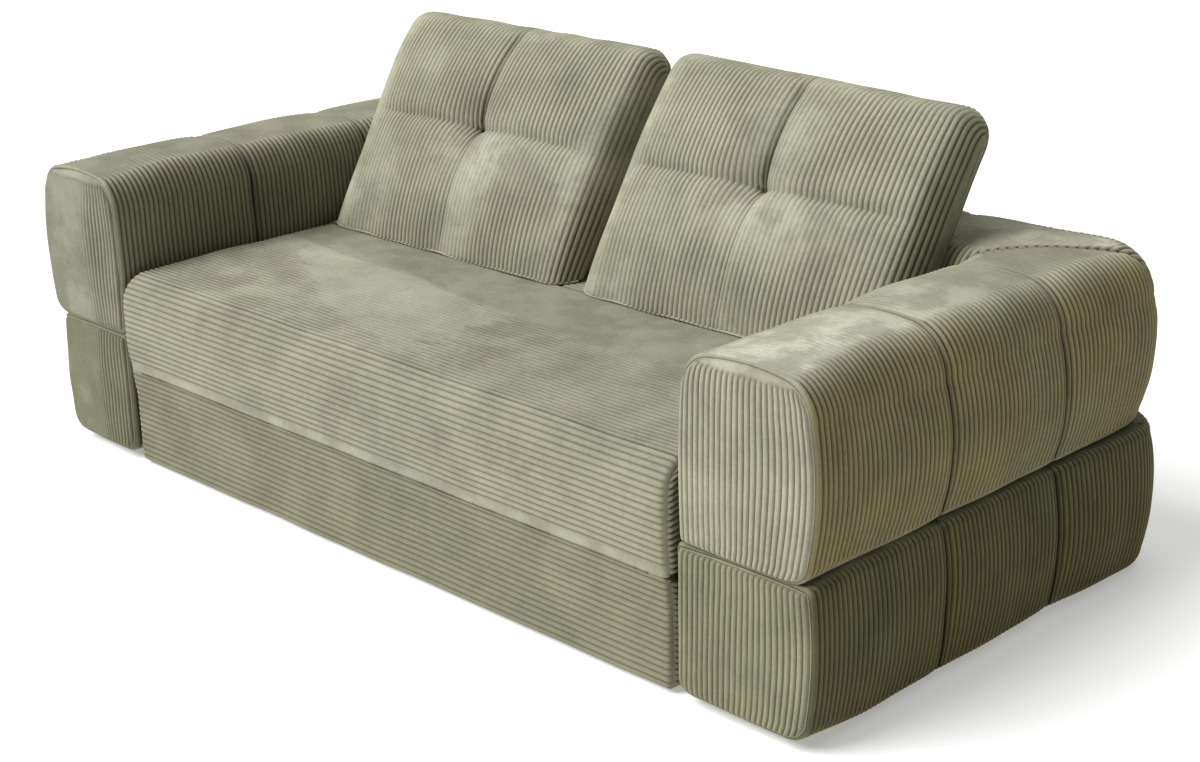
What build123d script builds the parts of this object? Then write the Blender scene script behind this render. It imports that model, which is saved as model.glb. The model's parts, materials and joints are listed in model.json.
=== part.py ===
from build123d import *
import math
import os

os.makedirs("parts", exist_ok=True)

# A two-seat sofa bed. X runs along its width, Y from front to back and Z up.
# The origin is the middle of its plan, at floor level. All lengths are millimetres.

# Plan of the surround and the seat
seat_width = 1458.0
side_gap = 15.0
arm_width = 248.0
arm_length = 983.0
seat_lead = 12.0
rail_width = 295.0
corner_round = 130.0
inner_corner_round = 8.0
mitre_gap = 0.6

# Heights
glide_height = 6.0
lower_tier_top = 271.0
tier_gap = 3.0
arm_top = 562.0
seat_top = 400.0
fold_height = 201.0
block_gap = 4.0

# Upholstery layers
cover_thickness = 4.0
layer_gap = 0.5
soft_gap = 0.4
least_round = 3.0

# Corner radii of a tier, in the order inner bottom, outer bottom, outer top, inner top
upper_corner_rounds = (28.0, 38.0, 62.0, 62.0)
lower_corner_rounds = (28.0, 44.0, 28.0, 20.0)
# How far each side of a tier swells, in the order bottom, outer, top, inner
upper_swells = (3.0, 9.0, 8.0, 4.0)
lower_swells = (0.0, 8.0, 3.0, 0.0)
arm_end_round = 22.0

# Sewn seams round the arms and the back, as shares of the arm's length and of half the seat's width
arm_seam_shares = (0.34385, 0.65921)
rail_seam_shares = (-0.85048, -0.28395, 0.28395, 0.85048)
seam_depth = 7.0
seam_reach = 46.0
seam_reach_shares = ((-1.0, 0.0), (-0.35, 0.4), (0.0, 1.0), (0.35, 0.4), (1.0, 0.0))

# Folding seat block, fixed ledge and pull-out base
ledge_depth = 165.6
split_gap = 4.0
seat_corner_rounds = (22.0, 14.0, 14.0, 38.0)
seat_swells = (0.0, 0.0, 7.0, 5.0)
seat_end_round = 14.0
seat_front_overhang = 18.0
fold_setback = 8.0
base_back_gap = 10.0
base_corner_rounds = (18.0, 15.0, 15.0, 14.0)
base_swells = (0.0, 0.0, 0.0, 3.0)
base_end_round = 12.0
ledge_corner_rounds = (10.0, 10.0, 10.0, 12.0)
ledge_swells = (0.0, 0.0, 3.0, 0.0)
ledge_end_round = 14.0
ledge_foam_top = 46.0

# Timber frames
board = 15.0
foam_side = 45.0
foam_front = 58.0
foam_top = 52.0
foam_base = 20.0
foam_skin = 3.0
frame_mitre_gap = 24.0
frame_corner_inset = 88.0
arm_bays = 3
rail_bays = 4

# Fasteners
bolt_radius = 5.0
bolt_head_radius = 9.0
bolt_head_height = 5.0
drill_clearance = 0.3
arm_bolt_shares = (0.234, 0.529)
rail_bolt_shares = (-0.5761, 0.0823, 0.6584)
ledge_bolt_shares = (-0.7682, -0.2606, 0.2606, 0.7682)
ledge_bolt_height = 325.0
plate_length = 170.0
plate_width = 60.0
plate_thickness = 3.0
plate_reach = 165.0
plate_turn = 135.0
screw_radius = 2.5
screw_length = 31.0
screw_steps = (-65.0, -35.0, 35.0, 65.0)
glide_radius = 20.0
arm_glide_shares = (0.0916, 0.5697)
rail_glide_shares = (-0.6996, 0.0, 0.6996)

# Inside the base block
base_foam_height = 46.0
base_board = 18.0
slat_thickness = 12.0
slat_width = 62.0
slat_count = 11
base_glide_shares = (-0.8505, 0.0, 0.8505)
base_glide_inset = 70.0
underlay_height = 60.0

# Sewn fold strip, and the zip along the seat's right side
strip_thickness = 1.2
strip_width = 62.0
strip_clearance = 0.4
strip_end_margin = 39.0
zip_width = 8.0
zip_thickness = 1.2
zip_end_margin = 28.0
zip_tilt = -45.0
slider_length = 12.0
slider_width = 9.0
slider_thickness = 3.0
pull_length = 24.0
pull_width = 6.0
pull_thickness = 1.2
pull_tab_gap = 3.0
pull_hole_radius = 1.5
pull_hole_depth = 3.6

# Back cushions
cushion_side_gap = 2.0
cushion_height = 520.0
cushion_gap = 30.0
cushion_lean = 33.0
cushion_lip = 16.0
cushion_crown = 46.0
cushion_cover = 3.0
cushion_rail_gap = 2.6
cushion_foot_height = 38.0
cushion_top_share = 0.44
cushion_foot_share = 0.26
cushion_toe_share = 0.55
cushion_bend_share = 0.25
cushion_heel_share = 1.2
cushion_end_draw = 34.0
tie_radius = 2.0
cushion_zip_margin = 96.0
cushion_zip_width = 16.0
cushion_zip_rise = 34.0
# Stations across a cushion: place as a share of half the width, end draw share, crown share,
# and how deep the cross channel sits as a share of the crown
cushion_station_shares = (
    (-1.0, 1.0, 0.1, 0.6),
    (-0.97, 0.5, 0.3, 0.6),
    (-0.9, 0.15, 0.55, 0.6),
    (-0.72, 0.0, 0.85, 0.62),
    (-0.45, 0.0, 1.0, 0.62),
    (-0.18, 0.0, 0.82, 0.5),
    (-0.05, 0.0, 0.45, 0.0),
    (0.0, 0.0, 0.3, -0.9),
)

# Places worked out from the sizes above
overall_depth = seat_lead + arm_length
front_y = -overall_depth / 2
rear_y = overall_depth / 2
arm_front_y = front_y + seat_lead
arm_inner_x = seat_width / 2 + side_gap
arm_outer_x = arm_inner_x + arm_width
rail_front_y = rear_y - rail_width
pivot_x = arm_inner_x - inner_corner_round
pivot_y = rail_front_y - inner_corner_round
upper_tier_base = lower_tier_top + tier_gap
block_base = fold_height + block_gap / 2
base_top = fold_height - block_gap / 2
ledge_base = base_top + soft_gap
fold_y = front_y + fold_setback
ledge_front_y = rail_front_y - soft_gap - ledge_depth
seat_depth = ledge_front_y - split_gap - front_y
base_front_y = front_y + seat_front_overhang
base_depth = rail_front_y - base_back_gap - base_front_y
foam_inset = cover_thickness + layer_gap
strip_length = seat_width - 2 * strip_end_margin
cushion_width = (seat_width - cushion_gap) / 2 - cushion_side_gap
cushion_zip_length = cushion_width - 2 * cushion_zip_margin
diagonal = math.sqrt(0.5)


def along_arm(shares):
    """Places along an arm, from its front, that keep their shares of its length."""
    return [share * arm_length for share in shares]


def across_seat(shares):
    """Places across the sofa, from its middle, that keep their shares of half the seat's width."""
    return [share * seat_width / 2 for share in shares]


end_round_steps = 3
fan_steps = 3


def box_between(low, high):
    """A plain box from its lowest corner to its highest corner."""
    size = [b - a for a, b in zip(low, high)]
    middle = [(a + b) / 2 for a, b in zip(low, high)]
    return Pos(*middle) * Box(*size)


def rod(start, direction, radius, length):
    """A round bar that starts at a point and runs along a direction."""
    return Plane(origin=start, z_dir=direction) * Cylinder(
        radius, length, align=(Align.CENTER, Align.CENTER, Align.MIN)
    )


def bow(start, through, end, swell):
    """A side of a section: an arc where it swells, or a straight line."""
    if swell > 0:
        return Edge.make_three_point_arc(start, through, end)
    return Edge.make_line(start, end)


def section(origin, across, width, low, high, rounds, swells, inset):
    """An upright cross-section with rounded corners and sides that swell outwards."""

    def at(s, z):
        return Vector(origin[0] + across[0] * s, origin[1] + across[1] * s, z)

    inner_low, outer_low, outer_high, inner_high = [max(r - inset, least_round) for r in rounds]
    bottom_swell, outer_swell, top_swell, inner_swell = swells
    left, right = inset + inner_swell, width - inset - outer_swell
    base, top = low + inset + bottom_swell, high - inset - top_swell
    corners = (
        (left + inner_low, base + inner_low, inner_low, -1, -1),
        (right - outer_low, base + outer_low, outer_low, 1, -1),
        (right - outer_high, top - outer_high, outer_high, 1, 1),
        (left + inner_high, top - inner_high, inner_high, -1, 1),
    )
    arcs = []
    for s, z, r, side, rise in corners:
        beside, beyond = at(s + side * r, z), at(s, z + rise * r)
        through = at(s + side * r * diagonal, z + rise * r * diagonal)
        first, last = (beside, beyond) if side == rise else (beyond, beside)
        arcs.append((first, through, last))
    half_way = (left + right) / 2, (base + top) / 2
    peaks = (
        (at(half_way[0], low + inset), bottom_swell),
        (at(width - inset, half_way[1]), outer_swell),
        (at(half_way[0], high - inset), top_swell),
        (at(inset, half_way[1]), inner_swell),
    )
    edges = []
    for index, (first, through, last) in enumerate(arcs):
        peak, swell = peaks[index]
        following = arcs[(index + 1) % len(arcs)][0]
        edges.append(Edge.make_three_point_arc(first, through, last))
        edges.append(bow(last, peak, following, swell))
    return Wire(edges)


def end_draws(radius):
    """Pairs of distance from an end face and draw-in, which round that end off."""
    turns = [math.pi / 2 * step / end_round_steps for step in range(end_round_steps + 1)]
    return [(radius * (1 - math.cos(turn)), radius * (1 - math.sin(turn))) for turn in turns]


def seam_draws(places):
    """Pairs of place and draw-in, which pinch a roll at each sewn seam."""
    return [
        (place + reach * seam_reach, share * seam_depth)
        for place in places
        for reach, share in seam_reach_shares
    ]


def corner_reach(turn):
    """Distance from the inner corner's centre to the outer face, in one direction."""
    wide, deep = arm_outer_x - pivot_x, rear_y - pivot_y
    along_x, along_y = math.cos(turn), math.sin(turn)
    centre_x, centre_y = wide - corner_round, deep - corner_round
    if turn <= corner_turns[0]:
        return wide / along_x
    if turn >= corner_turns[1]:
        return deep / along_y
    ahead = centre_x * along_x + centre_y * along_y
    return ahead + math.sqrt(ahead**2 - centre_x**2 - centre_y**2 + corner_round**2)


corner_turns = (
    math.atan2(rear_y - pivot_y - corner_round, arm_outer_x - pivot_x),
    math.atan2(rear_y - pivot_y, arm_outer_x - pivot_x - corner_round),
)
mitre_turn = math.pi / 4


def spread(first, last):
    """Evenly spaced turns from the first to the last, both included."""
    return [first + (last - first) * step / fan_steps for step in range(fan_steps + 1)]


def fan_station(turn, side, tier, inset):
    """A section of a corner, on an upright plane through the inner corner's centre."""
    along = (side * math.cos(turn), math.sin(turn))
    origin = (
        side * pivot_x + along[0] * inner_corner_round,
        pivot_y + along[1] * inner_corner_round,
    )
    return section(origin, along, corner_reach(turn) - inner_corner_round, *tier, inset)


def mitre_face(side, offset):
    """The mitre's plane, moved off the true mitre towards the back rail or the arm."""
    normal = (-side * diagonal, diagonal)
    origin = (side * pivot_x + normal[0] * offset, pivot_y + normal[1] * offset, 0)
    return Plane(origin=origin, z_dir=(*normal, 0))


upper_tier = (upper_tier_base, arm_top, upper_corner_rounds, upper_swells)
lower_tier = (glide_height, lower_tier_top, lower_corner_rounds, lower_swells)


def arm_roll(tier, inset):
    """One tier of the right arm, from its front cap to the mitre."""
    end_round = max(arm_end_round - inset, least_round)
    draws = [(inset + back, draw) for back, draw in end_draws(end_round)]
    draws += [pair for pair in seam_draws(along_arm(arm_seam_shares)) if arm_front_y + pair[0] < pivot_y]
    wires = []
    for back, draw in draws:
        origin = (arm_inner_x, arm_front_y + back)
        wires.append(section(origin, (1, 0), arm_width, *tier, inset + draw))
    turns = spread(0, corner_turns[0]) + [mitre_turn]
    wires += [fan_station(turn, 1, tier, inset) for turn in turns]
    roll = Solid.make_loft(wires, True)
    return split(roll, bisect_by=mitre_face(1, -mitre_gap / 2 - inset), keep=Keep.BOTTOM)


def rail_roll(tier, inset):
    """One tier of the back rail, from mitre to mitre."""
    turns = [mitre_turn] + spread(corner_turns[1], math.pi / 2)
    turns.insert(1, (mitre_turn + corner_turns[1]) / 2)
    wires = [fan_station(turn, -1, tier, inset) for turn in turns]
    for place, draw in seam_draws(across_seat(rail_seam_shares)):
        wires.append(section((place, rail_front_y), (0, 1), rail_width, *tier, inset + draw))
    wires += [fan_station(turn, 1, tier, inset) for turn in reversed(turns)]
    roll = Solid.make_loft(wires, True)
    for side in (-1, 1):
        roll = split(roll, bisect_by=mitre_face(side, mitre_gap / 2 + inset), keep=Keep.TOP)
    return roll


def block(half_length, near_y, depth, low, high, rounds, swells, end_round, inset):
    """A seat block that runs along X, with rounded ends."""
    draws = end_draws(max(end_round - inset, least_round))
    stations = [(-half_length + inset + back, draw) for back, draw in draws]
    stations += [(half_length - inset - back, draw) for back, draw in reversed(draws)]
    wires = [
        section((place, near_y), (0, 1), depth, low, high, rounds, swells, inset + draw)
        for place, draw in stations
    ]
    return Solid.make_loft(wires, True)


def crate(low, high, bays, long_axis, open_axis, open_side):
    """A glued board frame: a box with open bays between its cross boards."""
    frame = box_between(low, high)
    pitch = (high[long_axis] - low[long_axis] - board) / bays
    for bay in range(bays):
        bay_low = [value + board for value in low]
        bay_high = [value - board for value in high]
        bay_low[long_axis] = low[long_axis] + board + pitch * bay
        bay_high[long_axis] = low[long_axis] + pitch * (bay + 1)
        if open_side > 0:
            bay_high[open_axis] = high[open_axis] + board
        else:
            bay_low[open_axis] = low[open_axis] - board
        frame -= box_between(bay_low, bay_high)
    return frame


def frame_heights(tier_low, tier_high, foam_under):
    """The lowest and highest point of a tier's frame."""
    return tier_low + foam_under, tier_high - foam_top


upper_frame_heights = frame_heights(upper_tier_base, arm_top, foam_base)
lower_frame_heights = frame_heights(glide_height, lower_tier_top, foam_inset + seam_depth + foam_skin)


def arm_frame_box(heights, grow):
    """The right arm's frame as a plain block, cut off beside the mitre."""
    low = (arm_inner_x + foam_side - grow, arm_front_y + foam_front - grow, heights[0] - grow)
    high = (arm_outer_x - foam_side + grow, rear_y - foam_front, heights[1] + grow)
    return low, high


def rail_frame_box(heights, grow):
    """The back rail's frame as a plain block, before its mitres."""
    reach = arm_outer_x - frame_corner_inset
    low = (-reach, rail_front_y + foam_side - grow, heights[0] - grow)
    high = (reach, rear_y - foam_side + grow, heights[1] + grow)
    return low, high


def trim_arm(solid, grow):
    return split(solid, bisect_by=mitre_face(1, grow - frame_mitre_gap), keep=Keep.BOTTOM)


def trim_rail(solid, grow):
    for side in (-1, 1):
        solid = split(solid, bisect_by=mitre_face(side, frame_mitre_gap - grow), keep=Keep.TOP)
    return solid


# Bolts, screws and the holes that they need
arm_centre_x = arm_inner_x + arm_width / 2
rail_centre_y = rail_front_y + rail_width / 2
bolt_low = lower_frame_heights[1] - board
bolt_high = upper_frame_heights[0] + board


def tier_bolt_places():
    """Plan places of the bolts that hold the upper tier on the lower one."""
    places = [(side * arm_centre_x, arm_front_y + y) for side in (-1, 1) for y in along_arm(arm_bolt_shares)]
    return places + [(x, rail_centre_y) for x in across_seat(rail_bolt_shares)]


def headed_bolt(start, direction, grip):
    """A bolt with a head at one end of its grip and a nut at the other."""
    way = Vector(*direction)
    foot = Vector(*start) - way * (bolt_head_height + layer_gap)
    shank = rod(foot, direction, bolt_radius, grip + 2 * (bolt_head_height + layer_gap))
    head = rod(foot, direction, bolt_head_radius, bolt_head_height)
    nut = rod(Vector(*start) + way * (grip + layer_gap), direction, bolt_head_radius, bolt_head_height)
    return shank + head + nut


def tier_drills():
    start, end = bolt_low - board, bolt_high + board
    return [
        rod((x, y, start), (0, 0, 1), bolt_radius + drill_clearance, end - start)
        for x, y in tier_bolt_places()
    ]


ledge_frame_low = (-arm_inner_x + foam_side, ledge_front_y + foam_side / 2, ledge_base + foam_inset)
ledge_frame_high = (arm_inner_x - foam_side, rail_front_y - foam_inset - board, seat_top - ledge_foam_top)
ledge_bolt_start = ledge_frame_high[1] - board
ledge_bolt_grip = rail_front_y + foam_side + board - ledge_bolt_start


def ledge_drills():
    start = ledge_bolt_start - board
    return [
        rod((x, start, ledge_bolt_height), (0, 1, 0), bolt_radius + drill_clearance, rail_width / 2)
        for x in across_seat(ledge_bolt_shares)
    ]


def plate_screw_places(side):
    """Plan places of a corner plate's screws, across the mitre."""
    middle = (
        side * (pivot_x + plate_reach * diagonal),
        pivot_y + plate_reach * diagonal,
    )
    return [(middle[0] - side * step * diagonal, middle[1] + step * diagonal) for step in screw_steps]


def screw_drills():
    start = glide_height - plate_thickness
    return [
        rod((x, y, start), (0, 0, 1), screw_radius + drill_clearance, screw_length + plate_thickness)
        for side in (-1, 1)
        for x, y in plate_screw_places(side)
    ]


def drilled(solid, drills):
    """A piece with every hole that reaches it."""
    box = solid.bounding_box()
    for drill in drills:
        reach = drill.bounding_box()
        apart = (
            reach.min.X > box.max.X or reach.max.X < box.min.X
            or reach.min.Y > box.max.Y or reach.max.Y < box.min.Y
            or reach.min.Z > box.max.Z or reach.max.Z < box.min.Z
        )
        if not apart:
            solid = solid - drill
    return solid


# Cushion profile, in its own leaning plane: u runs back through the thickness, v up the lean
lean = math.radians(cushion_lean)
cushion_foot = (ledge_front_y - cushion_lip, seat_top + soft_gap)


def rail_corner_reach():
    """How far back the leaning plane can lie before it meets the rail's top front corner."""
    corner = upper_corner_rounds[3]
    centre_y = rail_front_y + upper_swells[3] + corner
    centre_z = arm_top - upper_swells[2] - corner
    back = (centre_y - cushion_foot[0]) * math.cos(lean)
    return back - (centre_z - cushion_foot[1]) * math.sin(lean) - corner


cushion_depth = rail_corner_reach() - cushion_rail_gap


def cushion_point(x, u, v):
    """A point of a cushion from its place across, through and up."""
    y = cushion_foot[0] + v * math.sin(lean) + u * math.cos(lean)
    z = cushion_foot[1] + v * math.cos(lean) - u * math.sin(lean)
    return Vector(x, y, z)


def cushion_section(x, draw, crown, channel, inset):
    """A cushion's profile: two lobes in front, a flat back and a foot on the seat."""
    slope = math.tan(lean)
    front, back = draw + inset, cushion_depth - draw / 2 - inset
    top = cushion_height - draw - inset
    top_round = (back - front) * cushion_top_share
    foot_round = (back - front) * cushion_foot_share
    middle = cushion_height / 2
    foot_lift = (draw / 2 + inset) / math.cos(lean)
    lobe = front - crown

    def at(u, v):
        return cushion_point(x, u, v)

    low_v = front * slope + foot_lift + cushion_foot_height
    toe = at(front + foot_round, (front + foot_round) * slope + foot_lift)
    low = at(front, low_v)
    mid = at(front - crown * channel, middle)
    high = at(front, top - top_round)
    crest = at((front + back) / 2, top)
    shoulder = at(back, top - top_round)
    heel_v = (back - foot_round) * slope + foot_lift
    heel = at(back - foot_round, heel_v)
    heel_top = at(back, heel_v + foot_round * (1 + slope))
    toe_through = at(front + foot_round * cushion_bend_share, low_v - cushion_toe_share * cushion_foot_height)
    heel_through = at(back - foot_round * cushion_bend_share, heel_v + foot_round * slope * cushion_heel_share)
    return Wire([
        Edge.make_three_point_arc(toe, toe_through, low),
        Edge.make_three_point_arc(low, at(lobe, (low_v + middle) / 2), mid),
        Edge.make_three_point_arc(mid, at(lobe, (middle + top - top_round) / 2), high),
        Edge.make_three_point_arc(high, crest, shoulder),
        Edge.make_line(shoulder, heel_top),
        Edge.make_three_point_arc(heel_top, heel_through, heel),
        Edge.make_line(heel, toe),
    ])


def cushion_body(centre_x, inset):
    """A back cushion with four lobes that meet in sewn channels and a deep tuft."""
    mirrored = [(-place, *rest) for place, *rest in reversed(cushion_station_shares[:-1])]
    half = cushion_width / 2 - inset
    wires = []
    for place, draw, crown, channel in (*cushion_station_shares, *mirrored):
        wires.append(
            cushion_section(
                centre_x + place * half, draw * cushion_end_draw, crown * cushion_crown, channel, inset
            )
        )
    return Solid.make_loft(wires, True)


def cushion_slab(centre_x, half_x, u_range, v_range):
    """A flat slab that lies in a cushion's leaning frame."""
    plane = Plane(
        origin=cushion_point(centre_x, 0, 0),
        x_dir=(1, 0, 0),
        z_dir=(0, math.sin(lean), math.cos(lean)),
    )
    size = (2 * half_x, u_range[1] - u_range[0], v_range[1] - v_range[0])
    middle = (0, (u_range[0] + u_range[1]) / 2, (v_range[0] + v_range[1]) / 2)
    return plane * Pos(*middle) * Box(*size)


nodes = {}


def add(name, *solids):
    """Keep one named piece, or a group of like pieces."""
    shapes = [one for solid in solids for one in solid.solids()]
    nodes[name] = Compound(shapes) if len(shapes) > 1 else shapes[0]


def make_rolls():
    """Covers, foam and frames of both tiers, round the three sides."""
    drills = tier_drills() + ledge_drills() + screw_drills()
    tiers = {
        "upper": (upper_tier, upper_frame_heights),
        "lower": (lower_tier, lower_frame_heights),
    }
    for tier_name, (tier, heights) in tiers.items():
        arm_box, arm_hollow = arm_frame_box(heights, 0), arm_frame_box(heights, layer_gap)
        rail_box, rail_hollow = rail_frame_box(heights, 0), rail_frame_box(heights, layer_gap)
        arm_cover = arm_roll(tier, 0) - arm_roll(tier, cover_thickness)
        arm_foam = arm_roll(tier, foam_inset) - trim_arm(box_between(*arm_hollow), layer_gap)
        arm_frame = trim_arm(crate(*arm_box, arm_bays, 1, 0, -1), 0)
        for side_name, mirrored in (("right", False), ("left", True)):
            for kind, solid in (("cover", arm_cover), ("foam", arm_foam), ("frame", arm_frame)):
                placed = mirror(solid, about=Plane.YZ) if mirrored else solid
                add(f"{side_name}_arm_{tier_name}_{kind}", drilled(placed, drills))
        rail_cover = rail_roll(tier, 0) - rail_roll(tier, cover_thickness)
        rail_foam = rail_roll(tier, foam_inset) - trim_rail(box_between(*rail_hollow), layer_gap)
        rail_frame = trim_rail(crate(*rail_box, rail_bays, 0, 1, 1), 0)
        add(f"back_{tier_name}_cover", drilled(rail_cover, drills))
        add(f"back_{tier_name}_foam", drilled(rail_foam, drills))
        add(f"back_{tier_name}_frame", drilled(rail_frame, drills))


def make_ledge():
    """The fixed ledge behind the folding block, which carries the cushions."""
    shape = (
        arm_inner_x - soft_gap, ledge_front_y, ledge_depth, ledge_base, seat_top,
        ledge_corner_rounds, ledge_swells, ledge_end_round,
    )
    drills = ledge_drills()
    hollow = box_between(
        [value - layer_gap for value in ledge_frame_low],
        [value + layer_gap for value in ledge_frame_high],
    )
    add("ledge_cover", drilled(block(*shape, 0) - block(*shape, cover_thickness), drills))
    add("ledge_foam", drilled(block(*shape, foam_inset) - hollow, drills))
    frame = crate(ledge_frame_low, ledge_frame_high, rail_bays, 0, 1, -1)
    add("ledge_frame", drilled(frame, drills))


def make_fasteners():
    """Bolts, corner plates, screws and floor glides of the surround."""
    grip = bolt_high - bolt_low
    add("tier_bolts", *[headed_bolt((x, y, bolt_low), (0, 0, 1), grip) for x, y in tier_bolt_places()])
    add("ledge_bolts", *[
        headed_bolt((x, ledge_bolt_start, ledge_bolt_height), (0, 1, 0), ledge_bolt_grip)
        for x in across_seat(ledge_bolt_shares)
    ])
    plates, screws = [], []
    plate_low = glide_height - plate_thickness
    for side in (-1, 1):
        middle = (
            side * (pivot_x + plate_reach * diagonal),
            pivot_y + plate_reach * diagonal,
            plate_low + plate_thickness / 2,
        )
        blank = Rot(0, 0, side * plate_turn) * Box(plate_length, plate_width, plate_thickness)
        plates.append(drilled(Pos(*middle) * blank, screw_drills()))
        for x, y in plate_screw_places(side):
            screws.append(rod((x, y, plate_low), (0, 0, 1), screw_radius, screw_length))
    add("corner_plates", *plates)
    add("corner_screws", *screws)
    arm_places = [(side * arm_centre_x, arm_front_y + y) for side in (-1, 1) for y in along_arm(arm_glide_shares)]
    places = arm_places + [(x, rail_centre_y) for x in across_seat(rail_glide_shares)]
    add("surround_glides", *[rod((x, y, 0), (0, 0, 1), glide_radius, glide_height) for x, y in places])


def make_base():
    """The pull-out base: a boxed timber frame with slats, a foam pad and a cover."""
    half = seat_width / 2
    shape = (
        half, base_front_y, base_depth, glide_height, base_top,
        base_corner_rounds, base_swells, base_end_round,
    )
    add("base_cover", block(*shape, 0) - block(*shape, cover_thickness))
    inside = cover_thickness + layer_gap
    foam_low = base_top - inside - base_foam_height
    filling = block(*shape, inside)
    keep = box_between((-half, base_front_y, foam_low), (half, rail_front_y, base_top))
    add("base_foam", filling & keep)
    slat_top = foam_low - layer_gap
    frame_top = slat_top - slat_thickness
    margin = inside + base_corner_rounds[0]
    frame_low = (-half + margin, base_front_y + margin, glide_height + inside)
    frame_high = (half - margin, base_front_y + base_depth - margin, frame_top)
    frame = box_between(frame_low, frame_high)
    bay = (frame_high[0] - frame_low[0] - base_board) / rail_bays
    for index in range(rail_bays):
        start = frame_low[0] + base_board + bay * index
        frame -= box_between(
            (start, frame_low[1] + base_board, frame_low[2] - base_board),
            (start + bay - base_board, frame_high[1] - base_board, frame_top + base_board),
        )
    add("base_frame", frame)
    span = frame_high[0] - frame_low[0] - slat_width
    slats = []
    for index in range(slat_count):
        start = frame_low[0] + span * index / (slat_count - 1)
        slats.append(box_between(
            (start, frame_low[1], frame_top), (start + slat_width, frame_high[1], slat_top)
        ))
    add("base_slats", *slats)
    rows = (base_front_y + base_glide_inset, base_front_y + base_depth - base_glide_inset)
    add("base_glides", *[
        rod((x, y, 0), (0, 0, 1), glide_radius, glide_height) for x in across_seat(base_glide_shares) for y in rows
    ])
    add("fold_strip_lower", box_between(
        (-strip_length / 2, fold_y + strip_clearance, base_top + strip_clearance),
        (strip_length / 2, fold_y + strip_width, base_top + strip_clearance + strip_thickness),
    ))


def make_seat():
    """The folding seat block, its fold strip, and the zip along its right side."""
    shape = (
        seat_width / 2, front_y, seat_depth, block_base, seat_top,
        seat_corner_rounds, seat_swells, seat_end_round,
    )
    add("seat_cover", block(*shape, 0) - block(*shape, cover_thickness))
    filling = block(*shape, foam_inset)
    level = block_base + foam_inset + underlay_height
    half = seat_width
    below = box_between((-half, front_y - half, block_base), (half, rear_y, level - layer_gap / 2))
    above = box_between((-half, front_y - half, level + layer_gap / 2), (half, rear_y, seat_top))
    add("seat_underlay_foam", filling & below)
    add("seat_comfort_foam", filling & above)
    high = block_base - strip_clearance
    add("fold_strip_upper", box_between(
        (-strip_length / 2, fold_y + strip_clearance, high - strip_thickness),
        (strip_length / 2, fold_y + strip_width, high),
    ))
    # The zip lies on the rounded edge between the right side and the underside
    centre = (seat_width / 2 - seat_end_round, block_base + seat_end_round)
    out = (seat_end_round + strip_clearance + zip_thickness / 2) * diagonal
    zip_start = front_y + zip_end_margin
    zip_end = front_y + seat_depth - zip_end_margin
    tape = Rot(0, zip_tilt, 0) * Box(zip_width, zip_end - zip_start, zip_thickness)
    add("seat_zip", Pos(centre[0] + out, (zip_start + zip_end) / 2, centre[1] - out) * tape)
    rise = strip_clearance + (slider_thickness + zip_thickness) / 2
    away = out + rise * diagonal
    body = Rot(0, zip_tilt, 0) * Box(slider_width, slider_length, slider_thickness)
    slider_y = zip_start + slider_length
    add("seat_zip_slider", Pos(centre[0] + away, slider_y, centre[1] - away) * body)
    tab_x = seat_width / 2 + pull_tab_gap
    reach = centre[1] - away + slider_width / 2
    tab = box_between(
        (tab_x, slider_y - pull_width / 2, reach - pull_length),
        (tab_x + pull_thickness, slider_y + pull_width / 2, reach),
    )
    hole = rod(
        (tab_x - pull_thickness, slider_y, reach - pull_length + pull_width / 2),
        (1, 0, 0), pull_hole_radius, pull_hole_depth,
    )
    add("seat_zip_pull", tab - hole)


def make_cushion(name, side):
    """One back cushion: cover, fill, tuft tie and the zip low on its back."""
    centre_x = side * (cushion_width + cushion_gap) / 2
    fill_inset = cushion_cover + layer_gap
    middle = cushion_height / 2
    tie_front = -cushion_crown * cushion_station_shares[-1][2] * cushion_station_shares[-1][3]
    tie_start = tie_front + fill_inset
    tie_length = cushion_depth - fill_inset - tie_start
    back_way = (0, math.cos(lean), -math.sin(lean))
    tie = rod(cushion_point(centre_x, tie_start, middle), back_way, tie_radius, tie_length)
    bore = rod(
        cushion_point(centre_x, tie_start - cushion_crown, middle), back_way,
        tie_radius + drill_clearance, cushion_depth + cushion_crown,
    )
    add(f"{name}_cushion_cover", cushion_body(centre_x, 0) - cushion_body(centre_x, cushion_cover))
    add(f"{name}_cushion_fill", cushion_body(centre_x, fill_inset) - bore)
    add(f"{name}_cushion_tuft_tie", tie)
    heel = cushion_depth * (math.tan(lean) + cushion_foot_share)
    add(f"{name}_cushion_zip", cushion_slab(
        centre_x, cushion_zip_length / 2,
        (cushion_depth + drill_clearance, cushion_depth + drill_clearance + zip_thickness),
        (heel + cushion_zip_rise, heel + cushion_zip_rise + cushion_zip_width),
    ))


make_rolls()
make_ledge()
make_fasteners()
make_base()
make_seat()
make_cushion("left", -1)
make_cushion("right", 1)

for node_name, shape in nodes.items():
    shape.label = node_name
    export_step(shape, f"parts/{node_name}.step")
print(len(nodes), "nodes; cushion depth", round(cushion_depth, 2))
print("fold line y", fold_y, "z", fold_height)
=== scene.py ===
# %% [markdown]
# # A two-seat sofa bed in wide-rib corduroy
# This lesson dresses a measured model of a sofa bed. The measured model already has every frame,
# bolt, cover and joint in its true place. Here each soft cover gets its real form: puffed panels,
# sewn seams, corduroy ribs (a weaver calls them wales), a zip, and two tufted back cushions.

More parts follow.
